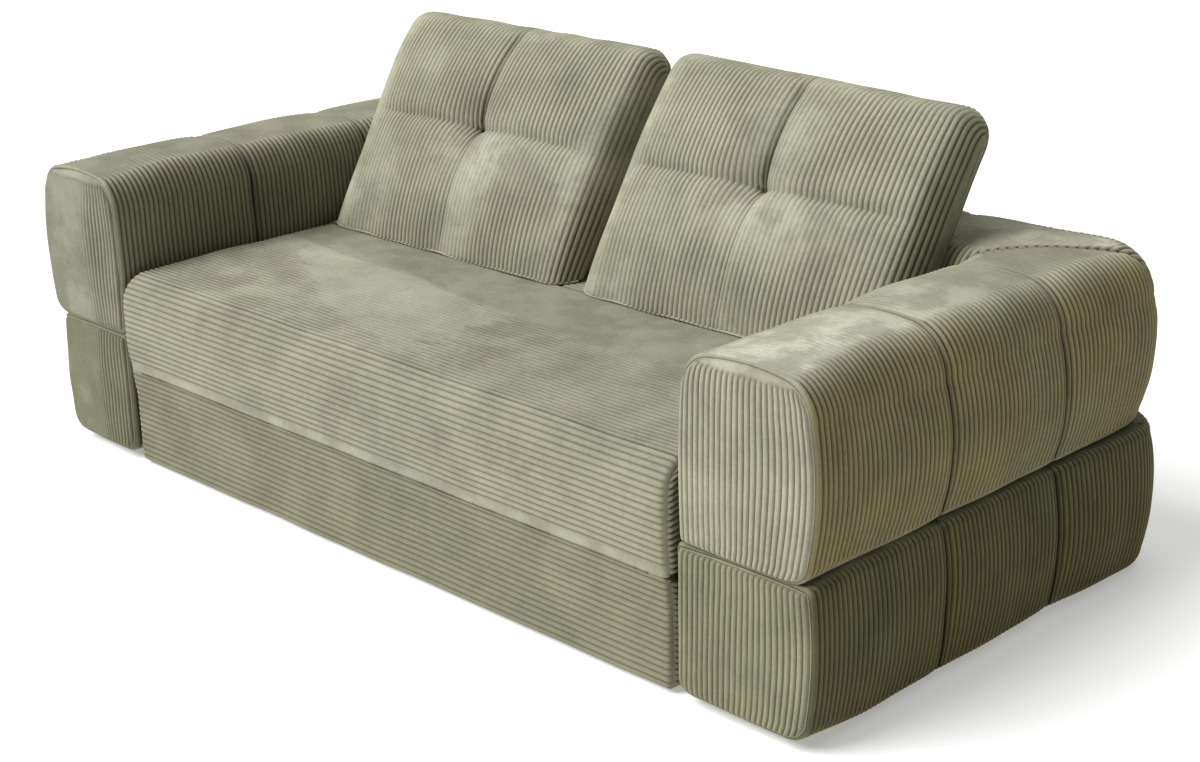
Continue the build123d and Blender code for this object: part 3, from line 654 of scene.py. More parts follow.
def rib_line(place, roll, tier, times):
    """A closed loop of across and height, where a plane cuts the roll. It ends on the mitre."""
    inner_low, outer_low, outer_high, inner_high = tier.rounds
    near_front = 1 - ease(place, ARM_FRONT, ARM_FRONT + 0.20)
    outer_low *= 0.65 + 0.35 * near_front
    outer_high *= 1 - 0.28 * near_front
    swell_low, swell_out, swell_high, swell_in = tier.swells
    swell_out *= 1 - 0.40 * near_front
    past = max(place - roll.pivot[0], 0.0)
    over = max(place - roll.centre[0], 0.0)
    wall = roll.pivot[1] + math.sqrt(max(INNER_CORNER**2 - past**2, 0.0))
    stop = max(roll.pivot[1] + past, wall) if past > 0 else -10.0

    def from_inner(depth):
        reach = np.maximum((depth + INNER_CORNER) ** 2 - past**2, 0)
        return np.maximum(roll.pivot[1] + np.sqrt(reach), stop)

    def from_outer(depth):
        if over <= 0:
            return np.maximum(roll.outer - depth, stop)
        reach = np.maximum(OUTER_CORNER - depth, 0) ** 2 - over**2
        return np.where(reach > 0, np.maximum(roll.centre[1] + np.sqrt(np.maximum(reach, 0)), stop), stop)

    def height(across, flat, swell, inner, outer, way):
        depth_in = np.hypot(across - roll.pivot[1], past) - INNER_CORNER - swell_in
        side, end = across - roll.centre[1], place - roll.centre[0]
        depth_out = OUTER_CORNER - np.hypot(np.maximum(side, 0), max(end, 0))
        depth_out = depth_out - np.minimum(np.maximum(side, end), 0) - swell_out
        depth_in, depth_out = np.maximum(depth_in, 0), np.maximum(depth_out, 0)
        share = depth_in / np.maximum(depth_in + depth_out, 1e-6)
        rise = 4 * swell * share * (1 - share) - edge_drop(depth_in, inner) - edge_drop(depth_out, outer)
        return flat + way * rise

    def run(inner, outer, flat, swell, way):
        near = from_inner(swell_in + inner * (1 - np.cos(QUARTER)))
        far = from_outer(swell_out + outer * (1 - np.cos(QUARTER)))[::-1]
        across = np.concatenate([near, near[-1] + (far[0] - near[-1]) * LEVEL[1:-1], far])
        return np.stack([across, height(across, flat, swell, inner, outer, way)], 1)

    bottom = run(inner_low, outer_low, tier.low + swell_low + tier.lift * near_front**2, swell_low, -1)
    top = run(inner_high, outer_high, tier.high - swell_high, swell_high, 1)[::-1]
    bow = 1 - 4 * LEVEL * (1 - LEVEL)
    deepest = OUTER_CORNER - math.hypot(over, max(stop - roll.centre[1], 0)) if over > 0 else 1.0
    span = math.sqrt(min(max(deepest / swell_out, 0), 1))
    level = 0.5 + span * (LEVEL - 0.5)
    heights = bottom[-1, 1] + (top[0, 1] - bottom[-1, 1]) * level
    if span < 1:
        bottom[:, 1], top[:, 1] = heights[0], heights[-1]
    outer = np.stack([from_outer(swell_out * (1 - 4 * level * (1 - level))), heights], 1)
    inner = np.stack([from_inner(swell_in * bow), top[-1, 1] + (bottom[0, 1] - top[-1, 1]) * LEVEL], 1)
    runs = zip((bottom, outer, top, inner), RUNS)
    return np.concatenate([spaced(line, count * times) for line, count in runs])


# %%  Pinch a roll at its seams and round its end
END_ROUND = 0.012
EDGE_BACK = 0.004
EDGE_DRAW = edge_drop(EDGE_BACK, END_ROUND)
SEAM_DEPTH, SEAM_WIDE, SEAM_NARROW = 0.0115, 0.026, 0.0045
MITRE_DEPTH, MITRE_WIDTH = 0.005, 0.009
BOTTOM_PULL, EDGE_PINCH = 0.3, 0.002


def pinch(places, seams):
    """How far the cloth is drawn in near its seams."""
    away = np.abs(np.subtract.outer(places, seams))
    return SEAM_DEPTH * (0.5 * fading(away, SEAM_WIDE) + 0.5 * fading(away, SEAM_NARROW)).sum(1)


def roll_loops(places, roll, tier, seams, times, front):
    """Rib lines of a roll in its own across and height, and how far each point is from the mitre."""
    reach = np.abs(places) if front is None else places
    loops = np.array([rib_line(place, roll, tier, times) for place in reach])
    draws = np.full(len(places), WALE_HEIGHT / 2)
    if front is not None:
        back = np.clip(places - front, 0, END_ROUND)
        draws += edge_drop(back, END_ROUND) + EDGE_PINCH * fading(back - EDGE_BACK, EDGE_PINCH)
    past = reach[:, None] - roll.pivot[0]
    gap = np.where(past > 0, np.maximum(loops[..., 0] - roll.pivot[1] - past, 0) / math.sqrt(2), 1.0)
    width = np.ptp(loops[..., 0], axis=1)[:, None]
    stations = (RUNS[0], RUNS[0] + 6, sum(RUNS[:3]) + 3, sum(RUNS))
    hold = np.interp(np.arange(loops.shape[1]) / times, stations, (BOTTOM_PULL, 1, 1, BOTTOM_PULL))
    draws = draws[:, None] + pinch(places, seams)[:, None] * hold
    drawn = inset_loops(loops, np.minimum(draws, 0.8 * width))
    half, middle = (tier.high - tier.low) / 2, (tier.high + tier.low) / 2
    drawn[..., 1] = middle + (drawn[..., 1] - middle) * (1 - MITRE_DEPTH / half * fading(gap, MITRE_WIDTH))
    behind, inner = past[:, 0] > 0, sum(RUNS[:3]) * times
    top, bottom = drawn[behind, inner - 1, 1][:, None], drawn[behind, 0, 1][:, None]
    share = np.linspace(0, 1, RUNS[3] * times + 1)[1:]
    drawn[behind, inner:, 0] = loops[behind, inner:, 0]
    drawn[behind, inner:, 1] = top + (bottom - top) * share
    return drawn, gap


def in_room(loops2d, places, side, along):
    """The loops of an arm or a rail as points in the room."""
    places = np.broadcast_to(places[:, None], loops2d.shape[:2])
    if along == "y":
        return np.stack([side * loops2d[..., 0], places, loops2d[..., 1]], -1)
    return np.stack([places, loops2d[..., 0], loops2d[..., 1]], -1)


# %%  Mark where the pile is stroked pale
FACES_UP, FACES_HALF_UP, FACES_ASIDE = (0.92, 0.985), (0.35, 0.65), (0.40, 0.90)
SEAM_DARK, SEAM_SHADE, MITRE_DARK, MITRE_SHADE = 0.82, 0.0052, 0.35, 0.003
TOP_FLAT, PATCH_FLAT, SHOULDER_HIGH = 0.66, 0.24, 0.30
INNER_DARK, LITTLE_STROKE = 0.34, 0.15


def top_share(normals):
    """1 where the cloth faces up, 0 on upright sides."""
    return ease(normals[..., 2], *FACES_UP)


def top_stroke(places, side, along):
    """How pale the pile is stroked on top: the right arm's front most, then the back's right end."""
    if along == "x":
        return LITTLE_STROKE + 0.60 * ease(places, 0.55, 0.85)[:, None]
    return LITTLE_STROKE if side < 0 else 1 - 0.90 * ease(places, -0.30, 0.20)[:, None]


def roll_marks(loops, counts, seed, seam_gap, mitre_gap, stroke, wall_dark):
    """What the ribs and the colour do on a roll: smooth and pale on top, with painted shade in its seams and
    mitre and on walls turned from the lamp.
    """
    normals = outward_normals(loops)
    top = top_share(normals)
    patches = ease(ripple(loops, 0.22, seed), -0.4, 0.5)
    shoulder = ease(normals[..., 2], *FACES_HALF_UP) * (1 - top)
    outward = normals[..., 0] * np.sign(loops[..., 0])
    outer = ease(np.maximum(outward, normals[..., 1]), *FACES_ASIDE)
    inner = ease(-outward, *FACES_ASIDE)
    height = 1 + SHOULDER_HIGH * shoulder - top * (TOP_FLAT + PATCH_FLAT * patches)
    # Painted shade: the seam and mitre creases and the walls turned from the lamp are drawn darker
    seams = SEAM_DARK * hump(seam_gap, SEAM_SHADE) + MITRE_DARK * fading(mitre_gap, MITRE_SHADE)
    dark = seams + INNER_DARK * inner + wall_dark * outer + 0.15 * top * (1 - 2 * stroke)
    return {
        "wale_place": counts[:, None],
        "wale_share": height * ease(mitre_gap, 0.0, 0.005),
        "pale": np.clip(1.25 * top * (0.70 + 0.30 * patches) * stroke, 0, 1),
        "dark": np.clip(dark, -0.15, 0.9),
        "shade": outer + 0.30 * inner,
    }


# %%  Sew the six rolls
CLOTH_GAP = 0.022
FINE = 2
BOTTOM_HELD, INNER_HELD = 0.85, 0.75
UNEVEN, UNEVEN_FLAT = 0.0014, 0.0012


def make_roll(side, tier, seams, breaks, roll, along, front, seed):
    """One roll: rib lines, stuffing from the simulation, and a slight unevenness."""
    fine, counts = rib_places(breaks)
    coarse = even_places(breaks, CLOTH_GAP)
    base = in_room(roll_loops(coarse, roll, tier, seams, 1, front)[0], coarse, side, along)
    pins = np.zeros(base.shape[:2])
    pins[[0, -1]] = 1
    for seam in seams:
        pins[np.argmin(np.abs(coarse - seam))] = 1
    pins[:, : RUNS[0]] = np.maximum(pins[:, : RUNS[0]], BOTTOM_HELD)
    pins[:, -RUNS[3]:] = np.maximum(pins[:, -RUNS[3]:], INNER_HELD)
    hidden = (np.abs(coarse) if front is None else coarse)[:, None] > roll.pivot[0]
    pins = np.where(hidden & (np.arange(base.shape[1]) >= base.shape[1] - RUNS[3]), 1.0, pins)
    bulge = refine(stuff(base, pins, pressure=6.0, slack=0.03, limit=0.011), coarse, fine, FINE)
    loops2d, mitre_gap = roll_loops(fine, roll, tier, seams, FINE, front)
    loops = in_room(loops2d, fine, side, along) + bulge * ease(mitre_gap, 0.0, 0.04)[..., None]
    uneven = UNEVEN * ripple(loops, 0.20, seed) * ease(mitre_gap, 0.0, 0.02)
    loops = settled(loops + outward_normals(loops) * uneven[..., None], tier)
    seam_gap = np.abs(np.subtract.outer(fine, seams)).min(1)[:, None]
    stroke = top_stroke(fine, side, along)
    marks = roll_marks(loops, counts, seed, seam_gap, mitre_gap, stroke, tier.wall_dark)
    return SimpleNamespace(loops=loops, marks=marks)


def mitre_reach(roll):
    """Where the mitre meets the round outer corner, with its cloth drawn in."""
    reach = OUTER_CORNER - WALE_HEIGHT
    a, b = (centre - pivot for centre, pivot in zip(roll.centre, roll.pivot))
    return roll.pivot[0] + (a + b + math.sqrt((a + b) ** 2 - 2 * (a * a + b * b - reach**2))) / 2


mitre_end = mitre_reach(arm_roll)
rail_end = arm_roll.pivot[1] + mitre_end - arm_roll.pivot[0]
arm_breaks = (ARM_FRONT + EDGE_BACK, *ARM_SEAMS, mitre_end)
rail_breaks = (-rail_end, *RAIL_SEAMS, rail_end)
tiers = {"upper": upper_tier, "lower": lower_tier}
rolls = {}
for row, (tier_name, tier) in enumerate(tiers.items()):
    for side_name, side in (("left", -1), ("right", 1)):
        rolls[side_name + "_arm_" + tier_name] = make_roll(
            side, tier, ARM_SEAMS, arm_breaks, arm_roll, "y", ARM_FRONT, 10 + 2 * row + side,
        )
    rolls["back_" + tier_name] = make_roll(
        1, tier, RAIL_SEAMS, rail_breaks, rail_roll, "x", None, 20 + row,
    )
print(len(rolls), "rolls,", rolls["back_upper"].loops.shape, "rib points on the back")


# %% [markdown]
# ## End panels
# Each arm ends in a flat panel with upright ribs. It is sewn to the roll by an edge seam. The
# panel is drawn by columns, each a closed loop: up its face and down again behind it. The seat
# blocks have side panels made the same way, with level ribs.

# %%  Draw a panel inside an outline
def away_from(outline, points):
    """Distance of each point from an outline."""
    best = np.full(points.shape[:-1], 10.0)
    for a, d in zip(outline, np.roll(outline, -1, 0) - outline):
        share = np.clip((points - a) @ d / max(d @ d, 1e-12), 0, 1)
        best = np.minimum(best, np.linalg.norm(points - a - share[..., None] * d, axis=-1))
    return best


def stretch_of(outline, start, end, shares):
    """Points at shares of the length of an outline's stretch from one row to another."""
    steps = (end - start) % len(outline)
    return placed(outline[(start + np.arange(steps + 1)) % len(outline)], shares)


def panel_net(outline, rows, rise, shoulder, dome):
    """Columns that follow a panel's edges: place across, place along and height above its seam."""
    ahead = np.roll(outline, -1, 0)
    if np.sum(outline[:, 0] * ahead[:, 1] - ahead[:, 0] * outline[:, 1]) < 0:
        outline = outline[::-1]
    corners = [int(np.argmax(outline @ np.array(way))) for way in ((-1, -1), (1, -1), (1, 1), (-1, 1))]
    low_left, low_right, high_right, high_left = corners
    places, counts = rib_places((0, outline[low_right, 0] - outline[low_left, 0]), PANEL_WALE)
    u, v = places / places[-1], np.linspace(0, 1, rows)
    v = 0.6 * (v - np.sin(2 * math.pi * v) / (2 * math.pi)) + 0.4 * v
    low = stretch_of(outline, low_left, low_right, u)[:, None]
    high = stretch_of(outline, high_right, high_left, 1 - u)[:, None]
    right_side = stretch_of(outline, low_right, high_right, v)[None]
    left_side = stretch_of(outline, high_left, low_left, 1 - v)[None]
    u, v = u[:, None, None], v[None, :, None]
    a, b, c, d = outline[corners]
    face = (1 - v) * low + v * high + (1 - u) * left_side + u * right_side
    face -= (1 - u) * (1 - v) * a + u * (1 - v) * b + u * v * c + (1 - u) * v * d
    inside = away_from(outline, face)
    lift = rise * edge_rise(inside, shoulder) + dome * ease(inside, 0.0, 0.11)
    front = np.concatenate([face, lift[..., None]], -1)
    behind = np.concatenate([face, np.full_like(lift, -0.0015)[..., None]], -1)
    gap = np.concatenate([inside, inside[:, ::-1]], 1)
    return np.concatenate([front, behind[:, ::-1]], 1), counts, gap


# %%  Sew the arms' end panels
BAND, STITCH = 0.021, 0.0022
PANEL_ROWS, PANEL_RISE, PANEL_SHOULDER, PANEL_DOME = 34, EDGE_BACK + 0.002, 0.012, 0.004


def panel_outline(tier):
    """The outline of an arm's end panel, inside the roll's rounded edge."""
    straight = rib_line(ARM_FRONT, arm_roll, tier, FINE)[None]
    return inset_loops(straight, np.full((1, 1), EDGE_DRAW + 0.003))[0]


def arm_panel(side, tier, seed):
    """A panel of upright ribs. On the upper tier the roll's smooth cloth turns over its top edge."""
    net, counts, rim = panel_net(panel_outline(tier), PANEL_ROWS, PANEL_RISE, PANEL_SHOULDER, PANEL_DOME)
    below = tier.high - net[..., 1] if tier is upper_tier else np.ones(net.shape[:2])
    seam = fading(below - BAND, STITCH)
    net[..., 2] -= STITCH * seam * (net[..., 2] > 0)
    loops = np.stack([side * net[..., 0], ARM_FRONT + EDGE_BACK - net[..., 2], net[..., 1]], -1)
    loops[..., 1] += UNEVEN_FLAT * ripple(loops, 0.16, seed)
    loops = settled(loops, tier)
    smooth = 1 - ease(below, BAND - 0.002, BAND + 0.003)
    rubbed = ease(ripple(loops, 0.20, seed + 5), 0.1, 0.9) * (0.75 if side < 0 else 0.15)
    if side < 0:
        rubbed = np.maximum(rubbed, ease(net[..., 0], ARM_INNER + 0.075, ARM_INNER + 0.125))
    # Painted shade in the stitch crease, and on the left panel as it turns from the lamp
    return SimpleNamespace(loops=loops, strip=True, marks={
        "wale_place": counts[:, None],
        "wale_share": ease(rim, 0.0, 0.004) * (1 - smooth) * (1 - 0.88 * rubbed),
        "pale": np.clip(0.55 * smooth + 0.35 * rubbed, 0, 1),
        "dark": 0.25 * seam + (0.0 if side > 0 else tier.panel_dark),
    })


for name, roll in rolls.items():
    upper = name.endswith("upper")
    parts = [roll]
    if "arm" in name:
        parts.append(arm_panel(1 if "right" in name else -1, tiers[name.split("_")[-1]], len(name)))
    piece = cover_mesh(name + "_upholstery", parts)
    finish_cover(piece, "surround", [name + "_cover", name + "_foam"], cloth_green if upper else cloth_lower_shaded)


# %% [markdown]
# ## The seat blocks
# The folding seat, the pull-out base under it and the fixed ledge behind it are plain blocks of
# foam in a ribbed cover. Their ribs run from arm to arm, so here a rib line is straight and the
# loop that counts the ribs goes round the block's section.

# %%  Draw a block's section
def block_section(y_low, y_high, z_low, z_high, rounds, swells):
    """A closed outline of rounded corners: front, bottom, back and top. The front swells or sinks."""
    (back_low, back_high, front_high, front_low) = rounds
    swell_top, swell_front = swells
    corners = (
        (y_low, z_low, front_low, 180, 270), (y_high, z_low, back_low, 270, 360),
        (y_high, z_high - swell_top, back_high, 0, 90), (y_low, z_high - swell_top, front_high, 90, 180),
    )
    line = []
    for y, z, r, start, end in corners:
        turn = np.radians(np.linspace(start, end, 12))
        centre = (y + r if start in (90, 180) else y - r, z + r if start >= 180 else z - r)
        line.append(np.stack([centre[0] + r * np.cos(turn), centre[1] + r * np.sin(turn)], 1))
    line = np.concatenate(line + [line[0][:1]])
    dense = spaced(line, 600)
    deep = ease(z_high - dense[:, 1], 0.0, 0.07)
    if swell_front > 0:
        deep *= ease(dense[:, 1], z_low, z_low + 0.07)
    front = np.clip((dense[:, 0] - y_low) / 0.02, 0, 1)
    dense[:, 0] -= swell_front * deep * (1 - front)
    span = np.clip((dense[:, 0] - y_low) / (y_high - y_low), 0, 1)
    top = ease(dense[:, 1], z_high - swell_top - 0.012, z_high - swell_top)
    dense[:, 1] += swell_top * ease(span, 0.0, 0.5) * top
    return dense


def block_cover(half, section, end_round):
    """A block's main sheet and its two side panels."""
    closed = np.concatenate([section, section[:1]])
    length = np.hypot(*np.diff(closed, axis=0).T).sum()
    around = spaced(closed, round(length / WALE) * LINES_PER_WALE)
    ends = end_round * (1 - np.cos(np.linspace(0.22, 1, 8) * math.pi / 2))
    middle = np.linspace(-half + end_round, half - end_round, round(2 * half / 0.020) + 1)
    places = np.concatenate([-half + ends[:-1], middle, half - ends[:-1][::-1]])
    draw = edge_drop(half - np.abs(places), end_round) + WALE_HEIGHT / 2
    loops = inset_loops(np.repeat(around[None], len(places), 0), np.repeat(draw[:, None], len(around), 1))
    room = np.stack([np.broadcast_to(places[:, None], loops.shape[:2]), loops[..., 0], loops[..., 1]], -1)
    sheet = SimpleNamespace(loops=room, counts=np.arange(len(around)) / LINES_PER_WALE, places=places)
    edge = inset_loops(spaced(closed, 200)[None], np.full((1, 1), draw[0] - 0.0005))[0]
    net, counts, rim = panel_net(edge[:, ::-1], 40, end_round * 0.3, 0.008, 0.001)
    sides = []
    for side in (-1, 1):
        panel = np.stack([side * (half - ends[0] + net[..., 2]), net[..., 1], net[..., 0]], -1)
        marks = {"wale_place": counts[:, None], "wale_share": 1.2 * ease(rim, 0.0, 0.004), "dark": 0.22}
        sides.append(SimpleNamespace(loops=panel, strip=True, marks=marks))
    return sheet, sides


# %% Stroke the pile of the seat, and paint light and shadow on it
# The nap line also edges a painted shadow in front of the cushions, and the pale patch is stroked pile with a
# painted pool of light
NAP_LEFT, NAP_RIGHT = (-0.511, -0.102), (0.501, -0.183)
PALE_PATCH = [(-0.275, -0.340), (0.033, -0.428), (0.060, -0.180), (-0.592, -0.050), (-0.601, -0.160)]
SEAT_PATCH = [(0.15, -0.44), (0.60, -0.46), (0.62, -0.30), (0.20, -0.25)]
BEHIND_NAP_SHADOW = [(-0.80, -0.079), (0.80, -0.207), (0.80, 0.10), (-0.80, 0.10)]
cloth_seat = make_corduroy(
    "corduroy_green_seat", tint=(0.92, 0.92, 0.92),
    strokes_and_light=[(PALE_PATCH, 0.50), (SEAT_PATCH, 0.25)], shades=[(BEHIND_NAP_SHADOW, 0.18)],
)


def block_marks(sheet, name):
    """Where a block's ribs are pressed flat. Behind the nap line the seat is nearly smooth."""
    normals = outward_normals(sheet.loops)
    top = top_share(normals)
    under = ease(-normals[..., 2], 0.5, 0.8)
    near_end = ease(np.abs(sheet.places).max() - np.abs(sheet.places), 0.0, 0.006)[:, None]
    slope = (NAP_RIGHT[1] - NAP_LEFT[1]) / (NAP_RIGHT[0] - NAP_LEFT[0])
    behind = sheet.loops[..., 1] - NAP_LEFT[1] - slope * (sheet.loops[..., 0] - NAP_LEFT[0])
    # Flat is how far the ribs on top are pressed down. Below 0 they stand higher than elsewhere
    flat = 1.0 if name == "base" else 0.45
    if name == "seat":
        flat = -0.45 + 0.65 * ease(sheet.loops[..., 1], -0.44, -0.28)
        flat += (0.82 - flat) * ease(behind, -0.02, 0.01)
    height = sheet.loops[..., 2] - sheet.loops[..., 2].min()
    band = 1 - ease(height, 0.017, 0.022) if name == "seat" else np.zeros(height.shape)
    towards_right = ease(sheet.loops[..., 0], -0.4, 0.1)
    return {
        "wale_place": np.broadcast_to(sheet.counts, sheet.loops.shape[:2]),
        "wale_share": (0.66 + 0.34 * top - flat * top) * near_end * (1 - 0.9 * band) * (1 - under),
        "pale": np.maximum(0.24 * top, 0.38 * band),
        "dark": 0.14 * top * towards_right,
    }


# %%  Cover the folding seat, the base and the ledge
seat_low, seat_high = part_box("seat_cover")
base_low, base_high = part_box("base_cover")
ledge_low, ledge_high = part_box("ledge_cover")
strip_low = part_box("fold_strip_lower")
strip_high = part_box("fold_strip_upper")
# How far the seat's front bows, how far seat and base reach towards each other, how far the channel
# for the strip stays behind the front and how deep it is, and where the cover lifts for the zip.
SINK, MEETING, LIP, CHANNEL = 0.007, 0.004, 0.005, 0.0032
ZIP_EDGE = (seat_high.x - 0.034, seat_high.x - 0.014)


def lay_channel(loops, name):
    """Flatten the faces where seat and base meet, and sink them under the fold strip and the zip."""
    up = outward_normals(loops)[..., 2] * (-1 if name == "seat" else 1)
    meeting = ease(up, 0.5, 0.8) if name != "ledge" else 0 * up
    rough = UNEVEN_FLAT * ripple(loops, 0.22, 31) * (1 - meeting)
    loops = loops + outward_normals(loops) * rough[..., None]
    x, y = np.abs(loops[..., 0]), loops[..., 1]
    near, far = strip_low[0].y + LIP, strip_low[1].y + 0.001
    channel = ease(y, near, near + 0.003) * (1 - ease(y, far, far + 0.003))
    channel *= 1 - ease(x, strip_low[1].x, strip_low[1].x + 0.020)
    if name == "seat":
        channel = np.maximum(channel, ease(loops[..., 0], *ZIP_EDGE))
    loops[..., 2] += CHANNEL * meeting * channel * (1 if name == "seat" else -1)
    return loops


# Front at the fold line, back, bottom, top, half width, corner rounds, swells of top and front.
blocks = {
    "seat": (
        seat_low.y + 0.008, seat_high.y, seat_low.z - MEETING, seat_high.z, seat_high.x,
        (0.010, 0.007, 0.040, 0.003), (0.008, SINK), 0.012, "seat_top",
        ["seat_cover", "seat_underlay_foam", "seat_comfort_foam"], cloth_seat,
    ),
    "base": (
        base_low.y - SINK - 0.0015, base_high.y, FLOOR_GAP, base_high.z + MEETING, base_high.x,
        (0.015, 0.010, 0.003, 0.016), (0.0, -SINK), 0.012, "seat_base",
        ["base_cover", "base_foam"], cloth_base_shaded,
    ),
    "ledge": (
        ledge_low.y, ledge_high.y, ledge_low.z, ledge_high.z, ledge_high.x,
        (0.010, 0.010, 0.007, 0.010), (0.0, 0.0), 0.014, "surround",
        ["ledge_cover", "ledge_foam"], cloth_seat,
    ),
}
for name, (front, back, bottom, top, half, rounds, swells, end_round, body, nodes, cloth) in blocks.items():
    sheet, sides = block_cover(half, block_section(front, back, bottom, top, rounds, swells), end_round)
    sheet.marks = block_marks(sheet, name)
    sheet.loops = lay_channel(sheet.loops, name)
    finish_cover(cover_mesh(name + "_upholstery", [sheet, *sides]), body, nodes, cloth)


# %% [markdown]
# ## The back cushions
# Each cushion leans on the back rail. Four lobes swell between a cross of sewn channels, and a
# tuft pulls the middle deep in. The ribs run up the front, over the top and down the back, so a
# rib line is again a loop, cut by an upright plane.

# %%  Draw a cushion
LEAN = math.radians(33)
CUSHION_FOOT = (0.0205, 0.4004)
CUSHION_WIDTH, CUSHION_HEIGHT, CUSHION_DEPTH, CROWN = 0.712, 0.516, 0.0935, 0.046
CUSHION_CENTRE = 0.371
CUSHION_MIDDLE, CORNER_ROUND, TOP_ROUND = 0.048, 0.055, 0.040
TUFT, TUFT_DEPTH, TUFT_WIDTH = 0.265, 0.036, 0.034
LEVEL_DEPTH, LEVEL_WIDTH = 0.015, 0.014
UPRIGHT_DEPTH, UPRIGHT_MORE, UPRIGHT_WIDTH = 0.011, 0.005, 0.013
CUSHION_RUNS = (66, 12, 40, 14)
FACE_SHARES = crowded(CUSHION_RUNS[0], ((0.0, 0.03), (0.508, 0.035), (1.0, 0.03)), 3.0)


def cushion_place(across, back, rise):
    """A cushion point in the room, from its place across, through and up the lean."""
    y = CUSHION_FOOT[0] + rise * math.sin(LEAN) + back * math.cos(LEAN)
    z = CUSHION_FOOT[1] + rise * math.cos(LEAN) - back * math.sin(LEAN)
    return np.stack([np.broadcast_to(across, y.shape), y, z], -1)


def cushion_front(across, rise, share, inside):
    """How far the front of a cushion stands back, with its lobes, its cross of channels and its tuft."""
    side_crown = 1 - (abs(across) / (CUSHION_WIDTH / 2)) ** 3.2
    swell = CROWN * (0.25 + 0.75 * side_crown) * (1 - np.abs(2 * share - 1) ** 3.0)
    up = rise - TUFT
    level = LEVEL_DEPTH * fading(up, LEVEL_WIDTH) * ease(inside, 0.0, 0.14)
    upright = (UPRIGHT_DEPTH + UPRIGHT_MORE * np.tanh(up / 0.03)) * fading(across, UPRIGHT_WIDTH)
    upright = upright * ease(share * (1 - share), 0, 0.10)
    tuft = TUFT_DEPTH * fading(np.hypot(across, up), TUFT_WIDTH)
    return -swell + np.maximum(level, upright) + tuft


def cushion_line(across):
    """One rib line round a cushion, in its own back and rise."""
    inside = CUSHION_WIDTH / 2 - abs(across)
    side = edge_rise(inside, CUSHION_MIDDLE)
    corner = edge_drop(inside, CORNER_ROUND)
    foot_corner = corner * 0.6
    rise_low, rise_high = 0.0012 + foot_corner, CUSHION_HEIGHT - corner
    share = np.linspace(0, 1, 80)
    rise = rise_low + (rise_high - rise_low) * share
    front = CUSHION_MIDDLE + (cushion_front(across, rise, share, inside) - CUSHION_MIDDLE) * side
    front = CUSHION_MIDDLE + (front - CUSHION_MIDDLE) * edge_rise(rise_high - rise, TOP_ROUND)
    face = np.stack([front, rise], 1)
    back = CUSHION_MIDDLE + (CUSHION_DEPTH - 0.001 - CUSHION_MIDDLE) * side
    back_rise = np.linspace(rise_high, CUSHION_DEPTH * math.tan(LEAN) + 0.004 + foot_corner, 60)
    back_place = CUSHION_MIDDLE + (back - CUSHION_MIDDLE) * edge_rise(rise_high - back_rise, TOP_ROUND)
    back_line = np.stack([back_place, back_rise], 1)
    foot = np.linspace(back_line[-1], face[0], 20)
    foot[:, 1] = np.maximum(foot[:, 1], foot[:, 0] * math.tan(LEAN) + 0.0015)
    crest = np.array([face[-1], back_line[0]])
    runs = [spaced(line, count) for line, count in zip((crest, back_line, foot), CUSHION_RUNS[1:])]
    return np.concatenate([placed(face, FACE_SHARES), *runs])


# %%  Space the ribs over the rounded sides
def cloth_over_cushion():
    """Places across the cushion, and the length of cloth from its middle to each of them."""
    half = CUSHION_WIDTH / 2 - 0.0003
    across = half * np.sin(np.linspace(-math.pi / 2, math.pi / 2, 601))
    depth = np.array([cushion_line(place)[CUSHION_RUNS[0] * 3 // 4, 0] for place in across])
    length = np.concatenate([[0], np.cumsum(np.hypot(np.diff(across), np.diff(depth)))])
    return across, length - length[-1] / 2


CUSHION_ACROSS, CUSHION_CLOTH = cloth_over_cushion()
print("cloth from side to side:", round(2 * CUSHION_CLOTH[-1], 3), "m")


# %%  Stuff and sew both cushions
GATHER, GATHER_WIDTH, CREASE = 0.42, 0.060, 0.0022
BACK_HELD, SEAM_HELD, FOOT_HELD = 0.92, 0.85, 0.95


def cushion_marks(counts, across, rise, front, normals, patches):
    """Painted shade on the pinched ribs up and left of the tuft, a pale fan below it of stroked pile and
    painted light, painted shade in the creases and on the right side, and pale stroked pile round the left
    rim.
    """
    up = rise - TUFT
    left = across + CUSHION_WIDTH / 2
    smooth = 1 - ease(left, 0.026, 0.085) * (0.30 + 0.70 * ease(CUSHION_HEIGHT - rise, 0.0, 0.055))
    # The fan is stroked pile with painted light; the spot up and left of the tuft, the creases and the right
    # side are painted shade
    fan = hump(across - 0.07, 0.17) * hump(up + 0.060, 0.060)
    shade = hump(across + 0.035, 0.06) * hump(up - 0.040, 0.045)
    right_side = ease(normals[..., 0], 0.45, 0.85)
    level = fading(up, CREASE) * ease(CUSHION_WIDTH / 2 - np.abs(across), 0.02, 0.14)
    upright = fading(across, CREASE) * (0.6 + 0.4 * np.tanh(up / 0.02))
    creases = np.maximum(level, upright)
    return {
        "wale_place": counts[:, None],
        "wale_share": 1 - front * np.maximum(np.maximum(0.85 * smooth, 0.50 * fan), 0.42 * patches),
        "pale": front * np.clip(0.70 * smooth + 0.60 * fan + 0.35 * patches, 0, 1),
        "dark": np.clip(front * (0.26 * shade + 0.45 * creases) + 0.34 * right_side, 0, 0.7),
        "shade": 0.40 * right_side,
    }


